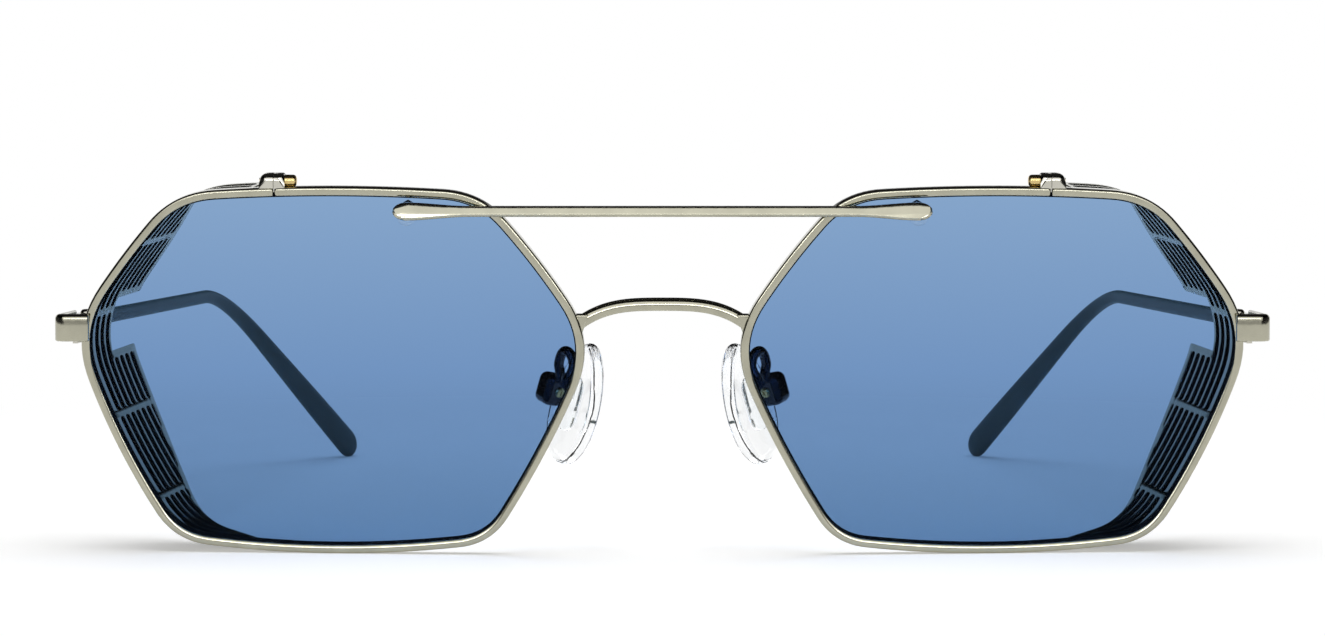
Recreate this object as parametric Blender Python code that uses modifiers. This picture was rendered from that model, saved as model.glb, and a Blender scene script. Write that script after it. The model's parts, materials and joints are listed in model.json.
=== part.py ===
"""Hexagonal double-bridge sunglasses with slotted side shields, open and standing on rims and tips.

X runs to the right as seen from the front, Y to the back, Z up. The front faces -Y.
The front is drawn lying on its back: x right, y up, z towards the viewer, with the rims' front
face at z = 0 on the middle line. A front empty then stands it up and leans it by the tilt.
Left pieces are drawn once. The right side hangs on an empty that mirrors it.
"""

import math

import bmesh
import bpy
from mathutils import Matrix, Vector

# Clearances
SEAT_GAP = 0.0001
RUN_GAP = 0.00015

# Front: tilt of the lens plane and radius of its wrap round the face
FRONT_TILT = math.radians(5.0)
FACE_RADIUS = 0.45

# Rim: outer outline as corner x, corner y, length cut at the corner, bow of the side after it
RIM_CORNERS = (
    (-0.0537, 0.0158, 0.0050, 0.00015),
    (-0.0205, 0.0163, 0.0056, 0.00005),
    (-0.0075, 0.0010, 0.0061, 0.00085),
    (-0.0187, -0.0238, 0.0055, 0.00105),
    (-0.0552, -0.0245, 0.0062, 0.00055),
    (-0.0667, -0.0016, 0.0061, 0.00110),
)
RIM_WIDTH = 0.0011
RIM_DEPTH = 0.0022
RIM_EDGE = 0.00018
GROOVE_DEPTH = 0.00045
GROOVE_WIDTH = 0.0009

# Rim lock: the split on top of the rim, its two blocks and their screw
SPLIT_X = -0.0433
SPLIT_WIDTH = 0.0003
BLOCK_OUTER_LENGTH = 0.0015
BLOCK_INNER_LENGTH = 0.0011
BLOCK_HEIGHT = 0.0015
BLOCK_DEPTH = 0.0020
BLOCK_ROUND = 0.0005
LOCK_SCREW_RADIUS = 0.0003
LOCK_HEAD_RADIUS = 0.0006
LOCK_HEAD_LENGTH = 0.0011

# Lens, with the shares of its outline at which its faces have rings of points
LENS_THICKNESS = 0.0016
LENS_RINGS = (0.12, 0.5)

# Brow bar, with the studs that hold it to the lenses
BROW_LEVEL = 0.0137
BROW_HALF_LENGTH = 0.0299
BROW_THICKNESS = 0.0010
BROW_MIDDLE_HEIGHT = 0.00117
BROW_PADDLE_HEIGHT = 0.00195
BROW_PADDLE_LENGTH = 0.0085
BROW_EDGE = 0.0001
STUD_FROM_TIP = 0.0015
STUD_RADIUS = 0.0004
WASHER_RADIUS = 0.00105
NUT_RADIUS = 0.0010
NUT_THICKNESS = 0.0007

# Lower bridge, with the flat share of each of its four sides
BRIDGE_CROWN = 0.0032
BRIDGE_DROP = 0.0020
BRIDGE_POWER = 3.2
BRIDGE_HEIGHT = 0.0014
BRIDGE_DEPTH = 0.0013
BRIDGE_FLAT = 0.6

# Side shield
SHEET = 0.0005
SHIELD_INSET = 0.0004
SHIELD_SLOPE = 0.233
SLOT_COUNT = 7
SLOT_WIDTH = 0.0010
SLOT_BAR = 0.0005
SLOT_BASE = 0.0018
SHIELD_BORDER = 0.0010
SHIELD_TOP_START = 0.0024
SHIELD_TOP_SLOTS = 2
SHIELD_TOP_EASE = 0.0135
SHIELD_BOTTOM_X = -0.0425
SHIELD_BOTTOM_DEPTH = 0.0022
SHIELD_BOTTOM_EASE = 0.0285
SHIELD_FULL_TOP = 0.0055
SHIELD_FULL_BOTTOM = -0.0055
CROSSBAR_LEVELS = (0.0093, -0.0104, -0.0197)
NOTCH_BAR_LEVEL = 0.0012
CROSSBAR_WIDTH = 0.00075
FLAP_BAR_WIDTH = 0.0008
END_BAR_WIDTH = 0.0008
NOTCH_TOP = 0.00245
NOTCH_BOTTOM = -0.0038
NOTCH_SLOTS = 3
COLUMN_LENGTH = 0.0026

# End piece and hinge
HINGE_X = -0.0665
HINGE_Y = 0.0146
STRIP_THICKNESS = 0.0008
STRIP_HEIGHT = 0.0031
STRIP_LIFT = 0.0003
STRIP_EDGE = 0.0001
BEND_RADIUS = 0.0015
LIP_COVER = 0.0010
KNUCKLE_RADIUS = 0.00105
KNUCKLE_HEIGHT = 0.0010
HINGE_LEAF_LENGTH = 0.0036
HINGE_LEAF_THICKNESS = 0.0006
HINGE_SCREW_RADIUS = 0.0004
HINGE_HEAD_RADIUS = 0.0008
HINGE_HEAD_TOP_RADIUS = 0.00056
HINGE_HEAD_HEIGHT = 0.0004

# Temple: metal strip with its corners cut by a share of its thickness, sleeve and ear bend. The strip
# tapers from below, so its top edge and the sleeve's run on level with the top of the hinge.
TEMPLE_TOE_IN = math.radians(4.0)
ARM_HEIGHT = 0.0014
ARM_TAPER = 0.0080
STRIP_CORNER = 0.25
SLEEVE_START = 0.0150
CORE_LENGTH = 0.0120
CORE_HEIGHT = 0.0007
CORE_WIDTH = 0.0007
SLEEVE_HEIGHT = 0.0015
SLEEVE_WIDTH = 0.0017
SLEEVE_SIDES = 12
SLEEVE_SQUARING = 0.75
EAR_BEND_AT = 0.0850
EAR_BEND_CUT = 0.0120
TIP_LENGTH = 0.0427
TIP_DROP = math.radians(35.8)
TIP_TOE_IN = math.radians(22.9)
PADDLE_HEIGHT = 0.0038
PADDLE_WIDTH = 0.0021
PADDLE_LENGTH = 0.0500
TIP_END = 0.12

# Nose pad, with its box, screw and wire arm. The crown pairs a share of the thickness with the
# share of the pad's oval at that height, and the oval narrows towards its upper end.
PAD_BOX = Vector((-0.01255, -0.0074, -0.0080))
PAD_LEAN = math.radians(15.5)
PAD_SPLAY = math.radians(34.0)
PAD_LENGTH = 0.0144
PAD_WIDTH = 0.0084
PAD_THICKNESS = 0.0024
PAD_CROWN = ((0, 0.86), (0.14, 0.97), (0.42, 1.0), (0.72, 0.92), (0.92, 0.68), (1.0, 0.3))
PAD_NARROWING = 0.14
PAD_SIDES = 20
PAD_OFFSET = 0.0029
PAD_BELOW_BOX = 0.0013
PAD_BOX_LENGTH = 0.0032
PAD_BOX_WIDTH = 0.0028
PAD_BOX_DEPTH = 0.0024
PAD_BOX_WALL = 0.0006
PAD_PLATE_LENGTH = 0.0064
PAD_PLATE_WIDTH = 0.0034
PAD_PLATE_THICKNESS = 0.0008
PAD_LUG_HEIGHT = 0.0014
PAD_SCREW_RADIUS = 0.0003
PAD_HEAD_RADIUS = 0.0006
PAD_HEAD_LENGTH = 0.0004
PAD_WIRE_RADIUS = 0.00045
PAD_WIRE_START = Vector((0, 0, -0.0009))
PAD_WIRE_FOOT_LEVEL = -0.0060
PAD_LOOP_TOP = Vector((-0.01085, -0.00267, -0.0053))
PAD_LOOP_LEG = Vector((0.00085, -0.0014, 0.0011))

# Colours with roughness and metallic value
CHAMPAGNE = ((0.50, 0.47, 0.38), 0.22, 1.0)
BRIGHT_STEEL = ((0.60, 0.58, 0.52), 0.18, 1.0)
SCREW_GOLD = ((0.62, 0.47, 0.22), 0.25, 1.0)
BLUE_TINT = ((0.12, 0.24, 0.45), 0.05, 0.0)
CLEAR = ((0.85, 0.88, 0.90), 0.10, 0.0)
SLATE = ((0.035, 0.045, 0.055), 0.45, 0.0)


for old in list(bpy.data.objects):
    bpy.data.objects.remove(old)

parts = bpy.data.collections.new("sunglasses")
cutters = bpy.data.collections.new("cutters")
bpy.context.scene.collection.children.link(parts)
bpy.context.scene.collection.children.link(cutters)


def material(name, finish):
    """A Principled material from a colour, a roughness and a metallic value."""
    colour, roughness, metallic = finish
    made = bpy.data.materials.new(name)
    made.use_nodes = True
    shader = made.node_tree.nodes["Principled BSDF"]
    shader.inputs["Base Color"].default_value = (*colour, 1.0)
    shader.inputs["Roughness"].default_value = roughness
    shader.inputs["Metallic"].default_value = metallic
    made.diffuse_color = (*colour, 1.0)
    return made


def empty(name, parent=None, location=(0, 0, 0), rotation=(0, 0, 0), scale=(1, 1, 1)):
    """An empty that carries pieces."""
    made = bpy.data.objects.new(name, None)
    made.parent = parent
    made.location = location
    made.rotation_euler = rotation
    made.scale = scale
    parts.objects.link(made)
    return made


def piece(name, mesh, parent, finish):
    """One named piece with its own material, on the empty that carries it."""
    mesh = mesh.copy()
    mesh.name = name
    mesh.materials.clear()
    mesh.materials.append(material(name, finish))
    made = bpy.data.objects.new(name, mesh)
    made.parent = parent
    parts.objects.link(made)
    return made


def pair(name, mesh, carriers, finish):
    """The left and right copies of a piece."""
    for side, carrier in carriers.items():
        piece(f"{name}_{side}", mesh, carrier, finish)


def finished(bm, smooth_angle=math.radians(35)):
    """A mesh from a bmesh, with its doubles merged and its faces pointing out."""
    bmesh.ops.remove_doubles(bm, verts=bm.verts, dist=1e-6)
    bmesh.ops.recalc_face_normals(bm, faces=bm.faces)
    mesh = bpy.data.meshes.new("mesh")
    bm.to_mesh(mesh)
    bm.free()
    mesh.shade_smooth()
    mesh.set_sharp_from_angle(angle=smooth_angle)
    return mesh


def evaluated(obj):
    """The mesh that an object's curve or modifiers make. The object is removed."""
    depsgraph = bpy.context.evaluated_depsgraph_get()
    depsgraph.update()
    mesh = bpy.data.meshes.new_from_object(obj.evaluated_get(depsgraph))
    bpy.data.objects.remove(obj)
    bm = bmesh.new()
    bm.from_mesh(mesh)
    return finished(bm)


def combined(mesh, operation, *others):
    """The Boolean of a mesh with other meshes, one after the other."""
    body = bpy.data.objects.new("body", mesh)
    cutters.objects.link(body)
    tools = []
    for other in others:
        tool = bpy.data.objects.new("cutter", other)
        tool.hide_render = True
        tool.display_type = "WIRE"
        cutters.objects.link(tool)
        tools.append(tool)
        cut = body.modifiers.new("cut", "BOOLEAN")
        cut.operation = operation
        cut.object = tool
    result = evaluated(body)
    for tool in tools:
        bpy.data.objects.remove(tool)
    return result


def loft(rings):
    """A closed body through rings of equal length, with its two ends filled."""
    bm = bmesh.new()
    rows = [[bm.verts.new(point) for point in ring] for ring in rings]
    for row, following in zip(rows, rows[1:]):
        for i in range(len(row)):
            j = (i + 1) % len(row)
            bm.faces.new((row[i], row[j], following[j], following[i]))
    bm.faces.new(reversed(rows[0]))
    bm.faces.new(rows[-1])
    return finished(bm)


def turned(profile, segments=16):
    """A body turned about Z from a closed profile of radius and height."""
    bm = bmesh.new()
    points = [bm.verts.new((radius, 0, height)) for radius, height in profile]
    edges = [bm.edges.new((a, b)) for a, b in zip(points, points[1:] + points[:1])]
    bmesh.ops.spin(bm, geom=points + edges, axis=(0, 0, 1), cent=(0, 0, 0), angle=2 * math.pi,
                   steps=segments, use_merge=True)
    loose = [edge for edge in bm.edges if not edge.link_faces]
    bmesh.ops.delete(bm, geom=loose, context="EDGES")
    return finished(bm)


def rod(radius, low, high, segments=16):
    """A plain round rod along Z."""
    return turned(((0, low), (radius, low), (radius, high), (0, high)), segments)


def block(size, centre, rounding=0.0, rounded=lambda edge: True):
    """A box with its chosen edges rounded."""
    bm = bmesh.new()
    bmesh.ops.create_cube(bm, size=1.0)
    bmesh.ops.transform(bm, matrix=Matrix.LocRotScale(centre, None, size), verts=bm.verts)
    if rounding:
        edges = [edge for edge in bm.edges if rounded(edge)]
        bmesh.ops.bevel(bm, geom=edges, offset=rounding, segments=3, affect="EDGES", profile=0.5)
    return finished(bm)


def moved(mesh, matrix):
    """The mesh placed by a matrix."""
    mesh.transform(matrix)
    return mesh


def plate(outline, thickness, edge=0.0):
    """A flat clockwise outline in XY with a thickness about z = 0, its edges cut by edge."""
    line = [Vector(point) for point in outline]
    half = thickness / 2
    levels = [(0.0, -half), (0.0, half)]
    if edge:
        levels = [(edge, -half), (0.0, edge - half), (0.0, half - edge), (edge, half)]
    rings = []
    for cut, height in levels:
        rings.append([(*point, height) for point in inset(line + line[:1], cut)[:-1]])
    return loft(rings)


def swept(path, profile):
    """A closed profile swept along points. The profile's x points right of the way, its y up."""
    section = bpy.data.curves.new("section", "CURVE")
    section.dimensions = "2D"
    around = section.splines.new("POLY")
    around.points.add(len(profile) - 1)
    for point, (x, y) in zip(around.points, profile):
        point.co = (x, y, 0, 1)
    around.use_cyclic_u = True
    section_object = bpy.data.objects.new("section", section)
    cutters.objects.link(section_object)
    curve = bpy.data.curves.new("path", "CURVE")
    curve.dimensions = "3D"
    curve.twist_mode = "Z_UP"
    curve.bevel_mode = "OBJECT"
    curve.bevel_object = section_object
    curve.use_fill_caps = True
    spline = curve.splines.new("POLY")
    spline.points.add(len(path) - 1)
    for point, place in zip(spline.points, path):
        point.co = (*place, 1)
    obj = bpy.data.objects.new("path", curve)
    cutters.objects.link(obj)
    mesh = evaluated(obj)
    bpy.data.objects.remove(section_object)
    return mesh


def arc(centre, radius, start, end, steps):
    """Points on an arc in XY, with its angles in degrees."""
    angles = [math.radians(start + (end - start) * i / steps) for i in range(steps + 1)]
    return [(centre[0] + radius * math.cos(a), centre[1] + radius * math.sin(a)) for a in angles]


def bezier(a, b, c, t):
    """A point on a quadratic curve from a to c, with b as its handle."""
    return a * (1 - t) ** 2 + b * 2 * t * (1 - t) + c * t ** 2


def eased(t):
    """A share from 0 to 1 that starts and ends gently."""
    t = min(1.0, max(0.0, t))
    return t * t * (3 - 2 * t)


def face_depth(x):
    """How far the front lies behind its middle line at x, because it wraps round the face."""
    return x * x / (2 * FACE_RADIUS)


# The outline of the rims

def rim_side(index, t):
    """A point on the bowed side after a corner, and the way the side runs there."""
    a = Vector(RIM_CORNERS[index][:2])
    b = Vector(RIM_CORNERS[(index + 1) % len(RIM_CORNERS)][:2])
    way = b - a
    outward = Vector((-way.y, way.x)).normalized()
    handle = (a + b) / 2 + outward * 2 * RIM_CORNERS[index][3]
    return bezier(a, handle, b, t), (handle - a) * (1 - t) + (b - handle) * t


def rim_stretch(index):
    """Where a side starts and ends between its cut corners."""
    a = Vector(RIM_CORNERS[index][:2])
    following = RIM_CORNERS[(index + 1) % len(RIM_CORNERS)]
    length = (Vector(following[:2]) - a).length
    return RIM_CORNERS[index][2] / length, 1 - following[2] / length


def rim_corner(index, steps):
    """Points round the corner at the end of a side, without the two that the sides have."""
    following = (index + 1) % len(RIM_CORNERS)
    a, way_in = rim_side(index, rim_stretch(index)[1])
    c, way_out = rim_side(following, rim_stretch(following)[0])
    reach = (c - a).cross(way_out) / way_in.cross(way_out)
    handle = a + way_in * reach
    return [bezier(a, handle, c, i / steps) for i in range(1, steps)]


def rim_outline(side_steps=4, corner_steps=4):
    """The rim's outer edge, clockwise from the split on top round to the split again."""
    top_start, top_end = rim_stretch(0)
    first, second = RIM_CORNERS[0][0], RIM_CORNERS[1][0]
    split = (SPLIT_X - first) / (second - first)
    points = []
    for i in range(side_steps + 1):
        points.append(rim_side(0, split + (top_end - split) * i / side_steps)[0])
    for index in range(1, len(RIM_CORNERS)):
        points += rim_corner(index - 1, corner_steps)
        start, end = rim_stretch(index)
        for i in range(side_steps + 1):
            points.append(rim_side(index, start + (end - start) * i / side_steps)[0])
    points += rim_corner(len(RIM_CORNERS) - 1, corner_steps)
    for i in range(side_steps + 1):
        points.append(rim_side(0, top_start + (split - top_start) * i / side_steps)[0])
    return points


def inset(points, distance):
    """A clockwise line moved inwards. Its first and last point lie at the same place."""
    count = len(points)
    result = []
    for i, point in enumerate(points):
        before = points[i - 1] if i else points[-2]
        after = points[i + 1] if i + 1 < count else points[1]
        way = (after - before).normalized()
        result.append(point + Vector((way.y, -way.x)) * distance)
    return result


split_point = rim_outline()[0]
stud_x = STUD_FROM_TIP - BROW_HALF_LENGTH


# The empties that carry the pieces

root = empty("sunglasses_root")
sides = {
    "left": empty("left_half", root),
    "right": empty("right_half", root, scale=(-1, 1, 1)),
}
stand_up = (math.pi / 2 + FRONT_TILT, 0, 0)
middle_front = empty("middle_front", root, rotation=stand_up)
fronts = {side: empty(f"front_{side}", carrier, rotation=stand_up) for side, carrier in sides.items()}
hinges = {
    side: empty(f"hinge_axis_{side}", carrier, (HINGE_X, HINGE_Y, 0))
    for side, carrier in sides.items()
}
temples = {
    side: empty(f"temple_{side}", carrier, rotation=(0, 0, -TEMPLE_TOE_IN))
    for side, carrier in hinges.items()
}
pad_turn = Matrix.Rotation(-PAD_LEAN, 4, "Z") @ Matrix.Rotation(PAD_SPLAY, 4, "Y")
pads = {
    side: empty(f"pad_axis_{side}", carrier, PAD_BOX, pad_turn.to_euler())
    for side, carrier in fronts.items()
}


def rim_mesh():
    """A split rim of bar with rounded edges and a V groove on its inner side."""
    half_split = Vector((SPLIT_WIDTH / 2, 0))
    points = rim_outline()
    points[0] = points[0] + half_split
    points[-1] = points[-1] - half_split
    path = [(point.x, point.y, -face_depth(point.x)) for point in points]
    w, d, e = RIM_WIDTH, RIM_DEPTH, RIM_EDGE
    low, high = -(d + GROOVE_WIDTH) / 2, -(d - GROOVE_WIDTH) / 2
    profile = (
        (e, 0), (0, -e), (0, -d + e), (e, -d), (w - e, -d), (w, -d + e),
        (w, low), (w - GROOVE_DEPTH, -d / 2), (w, high), (w, -e), (w - e, 0),
    )
    return swept(path, profile)


pair("rim", rim_mesh(), fronts, CHAMPAGNE)


def lens_mesh():
    """A lens with a V edge for the groove, wrapped with the front, drilled for the brow stud."""
    edge = rim_outline()[:-1]
    closed = edge + edge[:1]
    centre = Vector((sum(p.x for p in edge), sum(p.y for p in edge))) / len(edge)
    body = inset(closed, RIM_WIDTH + SEAT_GAP)[:-1]
    apex = inset(closed, RIM_WIDTH - GROOVE_DEPTH + SEAT_GAP * 2)[:-1]
    front = -(RIM_DEPTH - LENS_THICKNESS) / 2
    back = front - LENS_THICKNESS

    def ring(depth, share):
        points = [centre + (point - centre) * share for point in body]
        return [(point.x, point.y, depth - face_depth(point.x)) for point in points]

    def rim_ring(line, depth):
        return [(point.x, point.y, depth - face_depth(outer.x)) for point, outer in zip(line, edge)]

    rings = [ring(front, share) for share in LENS_RINGS]
    v_half = GROOVE_WIDTH / 2 - SEAT_GAP
    middle = (front + back) / 2
    rings += [rim_ring(body, front), rim_ring(body, middle + v_half), rim_ring(apex, middle)]
    rings += [rim_ring(body, middle - v_half), rim_ring(body, back)]
    rings += [ring(back, share) for share in reversed(LENS_RINGS)]
    hole = rod(STUD_RADIUS + SEAT_GAP, back - face_depth(stud_x) - LENS_THICKNESS, LENS_THICKNESS)
    moved(hole, Matrix.Translation((stud_x, BROW_LEVEL, 0)))
    return combined(loft(rings), "DIFFERENCE", hole)


pair("lens", lens_mesh(), fronts, BLUE_TINT)


# Rim locks

lock_reach = SPLIT_WIDTH + max(BLOCK_OUTER_LENGTH, BLOCK_INNER_LENGTH)
rim_under_lock = [point.y for point in rim_outline(20, 20) if abs(point.x - SPLIT_X) < lock_reach]
block_floor = max(rim_under_lock) + SEAT_GAP
block_front = -face_depth(SPLIT_X) - (RIM_DEPTH - BLOCK_DEPTH) / 2
lock_axis = Vector((0, block_floor + max(BLOCK_HEIGHT / 2, LOCK_HEAD_RADIUS + SEAT_GAP),
                    block_front - BLOCK_DEPTH / 2))
along_x = Matrix.Translation(lock_axis) @ Matrix.Rotation(math.pi / 2, 4, "Y")


def lock_block(low, high, round_left):
    """One half of the rim lock, rounded on its outer top edge and drilled for the screw."""
    size = (high - low, BLOCK_HEIGHT, BLOCK_DEPTH)
    centre = ((low + high) / 2, block_floor + BLOCK_HEIGHT / 2, lock_axis.z)

    def outer_top(edge):
        middle = (edge.verts[0].co + edge.verts[1].co) / 2
        at_end = middle.x < centre[0] if round_left else middle.x > centre[0]
        across = abs(edge.verts[0].co.z - edge.verts[1].co.z) > BLOCK_DEPTH / 2
        return across and at_end and middle.y > centre[1]

    rounding = min(BLOCK_ROUND, (high - low) / 2)
    hole = moved(rod(LOCK_SCREW_RADIUS + SEAT_GAP, low - SPLIT_WIDTH, high + SPLIT_WIDTH, 12), along_x)
    return combined(block(size, centre, rounding, outer_top), "DIFFERENCE", hole)


outer_face = split_point.x - SPLIT_WIDTH / 2
inner_face = split_point.x + SPLIT_WIDTH / 2
outer_end = outer_face - BLOCK_OUTER_LENGTH
inner_end = inner_face + BLOCK_INNER_LENGTH
pair("closing_block_outer", lock_block(outer_end, outer_face, True), fronts, BRIGHT_STEEL)
pair("closing_block_inner", lock_block(inner_face, inner_end, False), fronts, BRIGHT_STEEL)

head_low = inner_end + SEAT_GAP
head_high = head_low + LOCK_HEAD_LENGTH
lock_screw = turned((
    (0, outer_end), (LOCK_SCREW_RADIUS, outer_end), (LOCK_SCREW_RADIUS, head_low),
    (LOCK_HEAD_RADIUS, head_low), (LOCK_HEAD_RADIUS, head_high), (0, head_high),
))
pair("closing_screw", moved(lock_screw, along_x), fronts, SCREW_GOLD)


# Brow bar with its studs, the clear washers in front of the lenses and the nuts behind them

def rim_x_at(level):
    """Where the rim's upper inner side crosses a level."""
    points = [point for point in rim_outline(20, 20) if point.x > SPLIT_X and point.y > level]
    return max(point.x for point in points)


bar_back = SEAT_GAP - face_depth(rim_x_at(BROW_LEVEL) - RIM_WIDTH)
bar_front = bar_back + BROW_THICKNESS
lens_front = -(RIM_DEPTH - LENS_THICKNESS) / 2 - face_depth(stud_x + WASHER_RADIUS)
lens_back = -(RIM_DEPTH + LENS_THICKNESS) / 2 - face_depth(stud_x - NUT_RADIUS)
washer_front = bar_back - SEAT_GAP
washer_back = lens_front + SEAT_GAP
nut_front = lens_back - SEAT_GAP
nut_back = nut_front - NUT_THICKNESS


def brow_half_height(from_tip):
    """Half the brow bar's height at a length from its tip: a round end, a flare, then even."""
    flare = eased((BROW_PADDLE_LENGTH - from_tip) / (BROW_PADDLE_LENGTH - STUD_FROM_TIP))
    half = (BROW_MIDDLE_HEIGHT + (BROW_PADDLE_HEIGHT - BROW_MIDDLE_HEIGHT) * flare) / 2
    inside = min(1.0, from_tip / STUD_FROM_TIP)
    return half * math.sqrt(1 - (1 - inside) ** 2)


def brow_bar_mesh():
    """A flat bar that flares to a round tip at each end, with a stud behind each end."""
    tip_steps, flare_steps = 5, 6
    lengths = [STUD_FROM_TIP * (1 - math.cos(math.pi / 2 * i / tip_steps)) for i in range(tip_steps)]
    for i in range(flare_steps + 1):
        lengths.append(STUD_FROM_TIP + (BROW_PADDLE_LENGTH - STUD_FROM_TIP) * i / flare_steps)
    top = [(length - BROW_HALF_LENGTH, brow_half_height(length)) for length in lengths]
    outline = top + [(-x, y) for x, y in reversed(top)]
    outline += [(x, -y) for x, y in reversed(outline[1:-1])]
    bar = plate(outline, BROW_THICKNESS, BROW_EDGE)
    moved(bar, Matrix.Translation((0, BROW_LEVEL, (bar_front + bar_back) / 2)))
    studs = []
    for x in (stud_x, -stud_x):
        stud = rod(STUD_RADIUS, nut_back, (bar_front + bar_back) / 2, 12)
        studs.append(moved(stud, Matrix.Translation((x, BROW_LEVEL, 0))))
    return combined(bar, "UNION", *studs)


def ring_on_stud(radius, low, high):
    """A ring round the stud, from low to high."""
    bore = STUD_RADIUS + SEAT_GAP
    ring = turned(((bore, low), (radius, low), (radius, high), (bore, high)))
    return moved(ring, Matrix.Translation((stud_x, BROW_LEVEL, 0)))


piece("brow_bar", brow_bar_mesh(), middle_front, CHAMPAGNE)
pair("brow_washer", ring_on_stud(WASHER_RADIUS, washer_back, washer_front), fronts, CLEAR)
pair("brow_nut", ring_on_stud(NUT_RADIUS, nut_back, nut_front), fronts, BRIGHT_STEEL)


def bridge_mesh():
    """An arched wire between the rims, flat on top and steep at its feet."""
    foot = max(point.x for point in rim_outline()) + SEAT_GAP
    half = -foot
    steps = 16
    path = []
    for i in range(steps + 1):
        x = half * math.sin((i / steps - 0.5) * math.pi)
        path.append((x, BRIDGE_CROWN - BRIDGE_DROP * abs(x / half) ** BRIDGE_POWER, -RIM_DEPTH / 2))
    h, d = BRIDGE_HEIGHT / 2, BRIDGE_DEPTH / 2
    flat_h, flat_d = h * BRIDGE_FLAT, d * BRIDGE_FLAT
    profile = (
        (-h, -flat_d), (-h, flat_d), (-flat_h, d), (flat_h, d),
        (h, flat_d), (h, -flat_d), (flat_h, -d), (-flat_h, -d),
    )
    return swept(path, profile)


piece("lower_bridge", bridge_mesh(), middle_front, CHAMPAGNE)


# Side shields

shield_line = inset(rim_outline(24, 16), SHIELD_INSET)[::-1]
shield_reach = [0.0]
for before, after in zip(shield_line, shield_line[1:]):
    shield_reach.append(shield_reach[-1] + (after - before).length)


def shield_point(s):
    """The point of the shield's line at a length from the split."""
    i = next(i for i, reach in enumerate(shield_reach) if reach >= s)
    if i == 0:
        return shield_line[0]
    share = (s - shield_reach[i - 1]) / (shield_reach[i] - shield_reach[i - 1])
    return shield_line[i - 1].lerp(shield_line[i], share)


def shield_at_level(level):
    """The length at which the shield's line comes down to a level."""
    i = next(i for i, point in enumerate(shield_line) if point.y <= level)
    above, below = shield_line[i - 1], shield_line[i]
    share = (above.y - level) / (above.y - below.y)
    return shield_reach[i - 1] + share * (shield_reach[i] - shield_reach[i - 1])


shield_end = next(
    reach for reach, point in zip(shield_reach, shield_line)
    if point.y < NOTCH_BOTTOM and point.x > SHIELD_BOTTOM_X
)
slot_pitch = SLOT_WIDTH + SLOT_BAR
shield_depth = SLOT_BASE + SLOT_COUNT * slot_pitch - SLOT_BAR + SHIELD_BORDER
top_depth = SLOT_BASE + SHIELD_TOP_SLOTS * slot_pitch - SLOT_BAR + SHIELD_BORDER
full_from = shield_at_level(SHIELD_FULL_TOP)
full_to = shield_at_level(SHIELD_FULL_BOTTOM)


def rear_depth(s):
    """How far the shield reaches behind the rim: full at the hinge, easing off to both ends."""
    up = min(1.0, max(0.0, full_from - s) / SHIELD_TOP_EASE)
    down = min(1.0, max(0.0, s - full_to) / SHIELD_BOTTOM_EASE)
    fall_up = (shield_depth - top_depth) * up ** 2
    fall_down = (shield_depth - SHIELD_BOTTOM_DEPTH) * down ** 2
    return shield_depth - fall_up - fall_down


def slot_ends(start):
    """The lengths at which the falling rear edge closes a slot that starts at a depth."""
    fall = shield_depth - SHIELD_BORDER - start
    up = math.sqrt(fall / (shield_depth - top_depth))
    down = math.sqrt(fall / (shield_depth - SHIELD_BOTTOM_DEPTH))
    above = [full_from - up * SHIELD_TOP_EASE] if up < 1 else []
    below = [full_to + down * SHIELD_BOTTOM_EASE] if down < 1 else []
    return above + below


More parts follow.
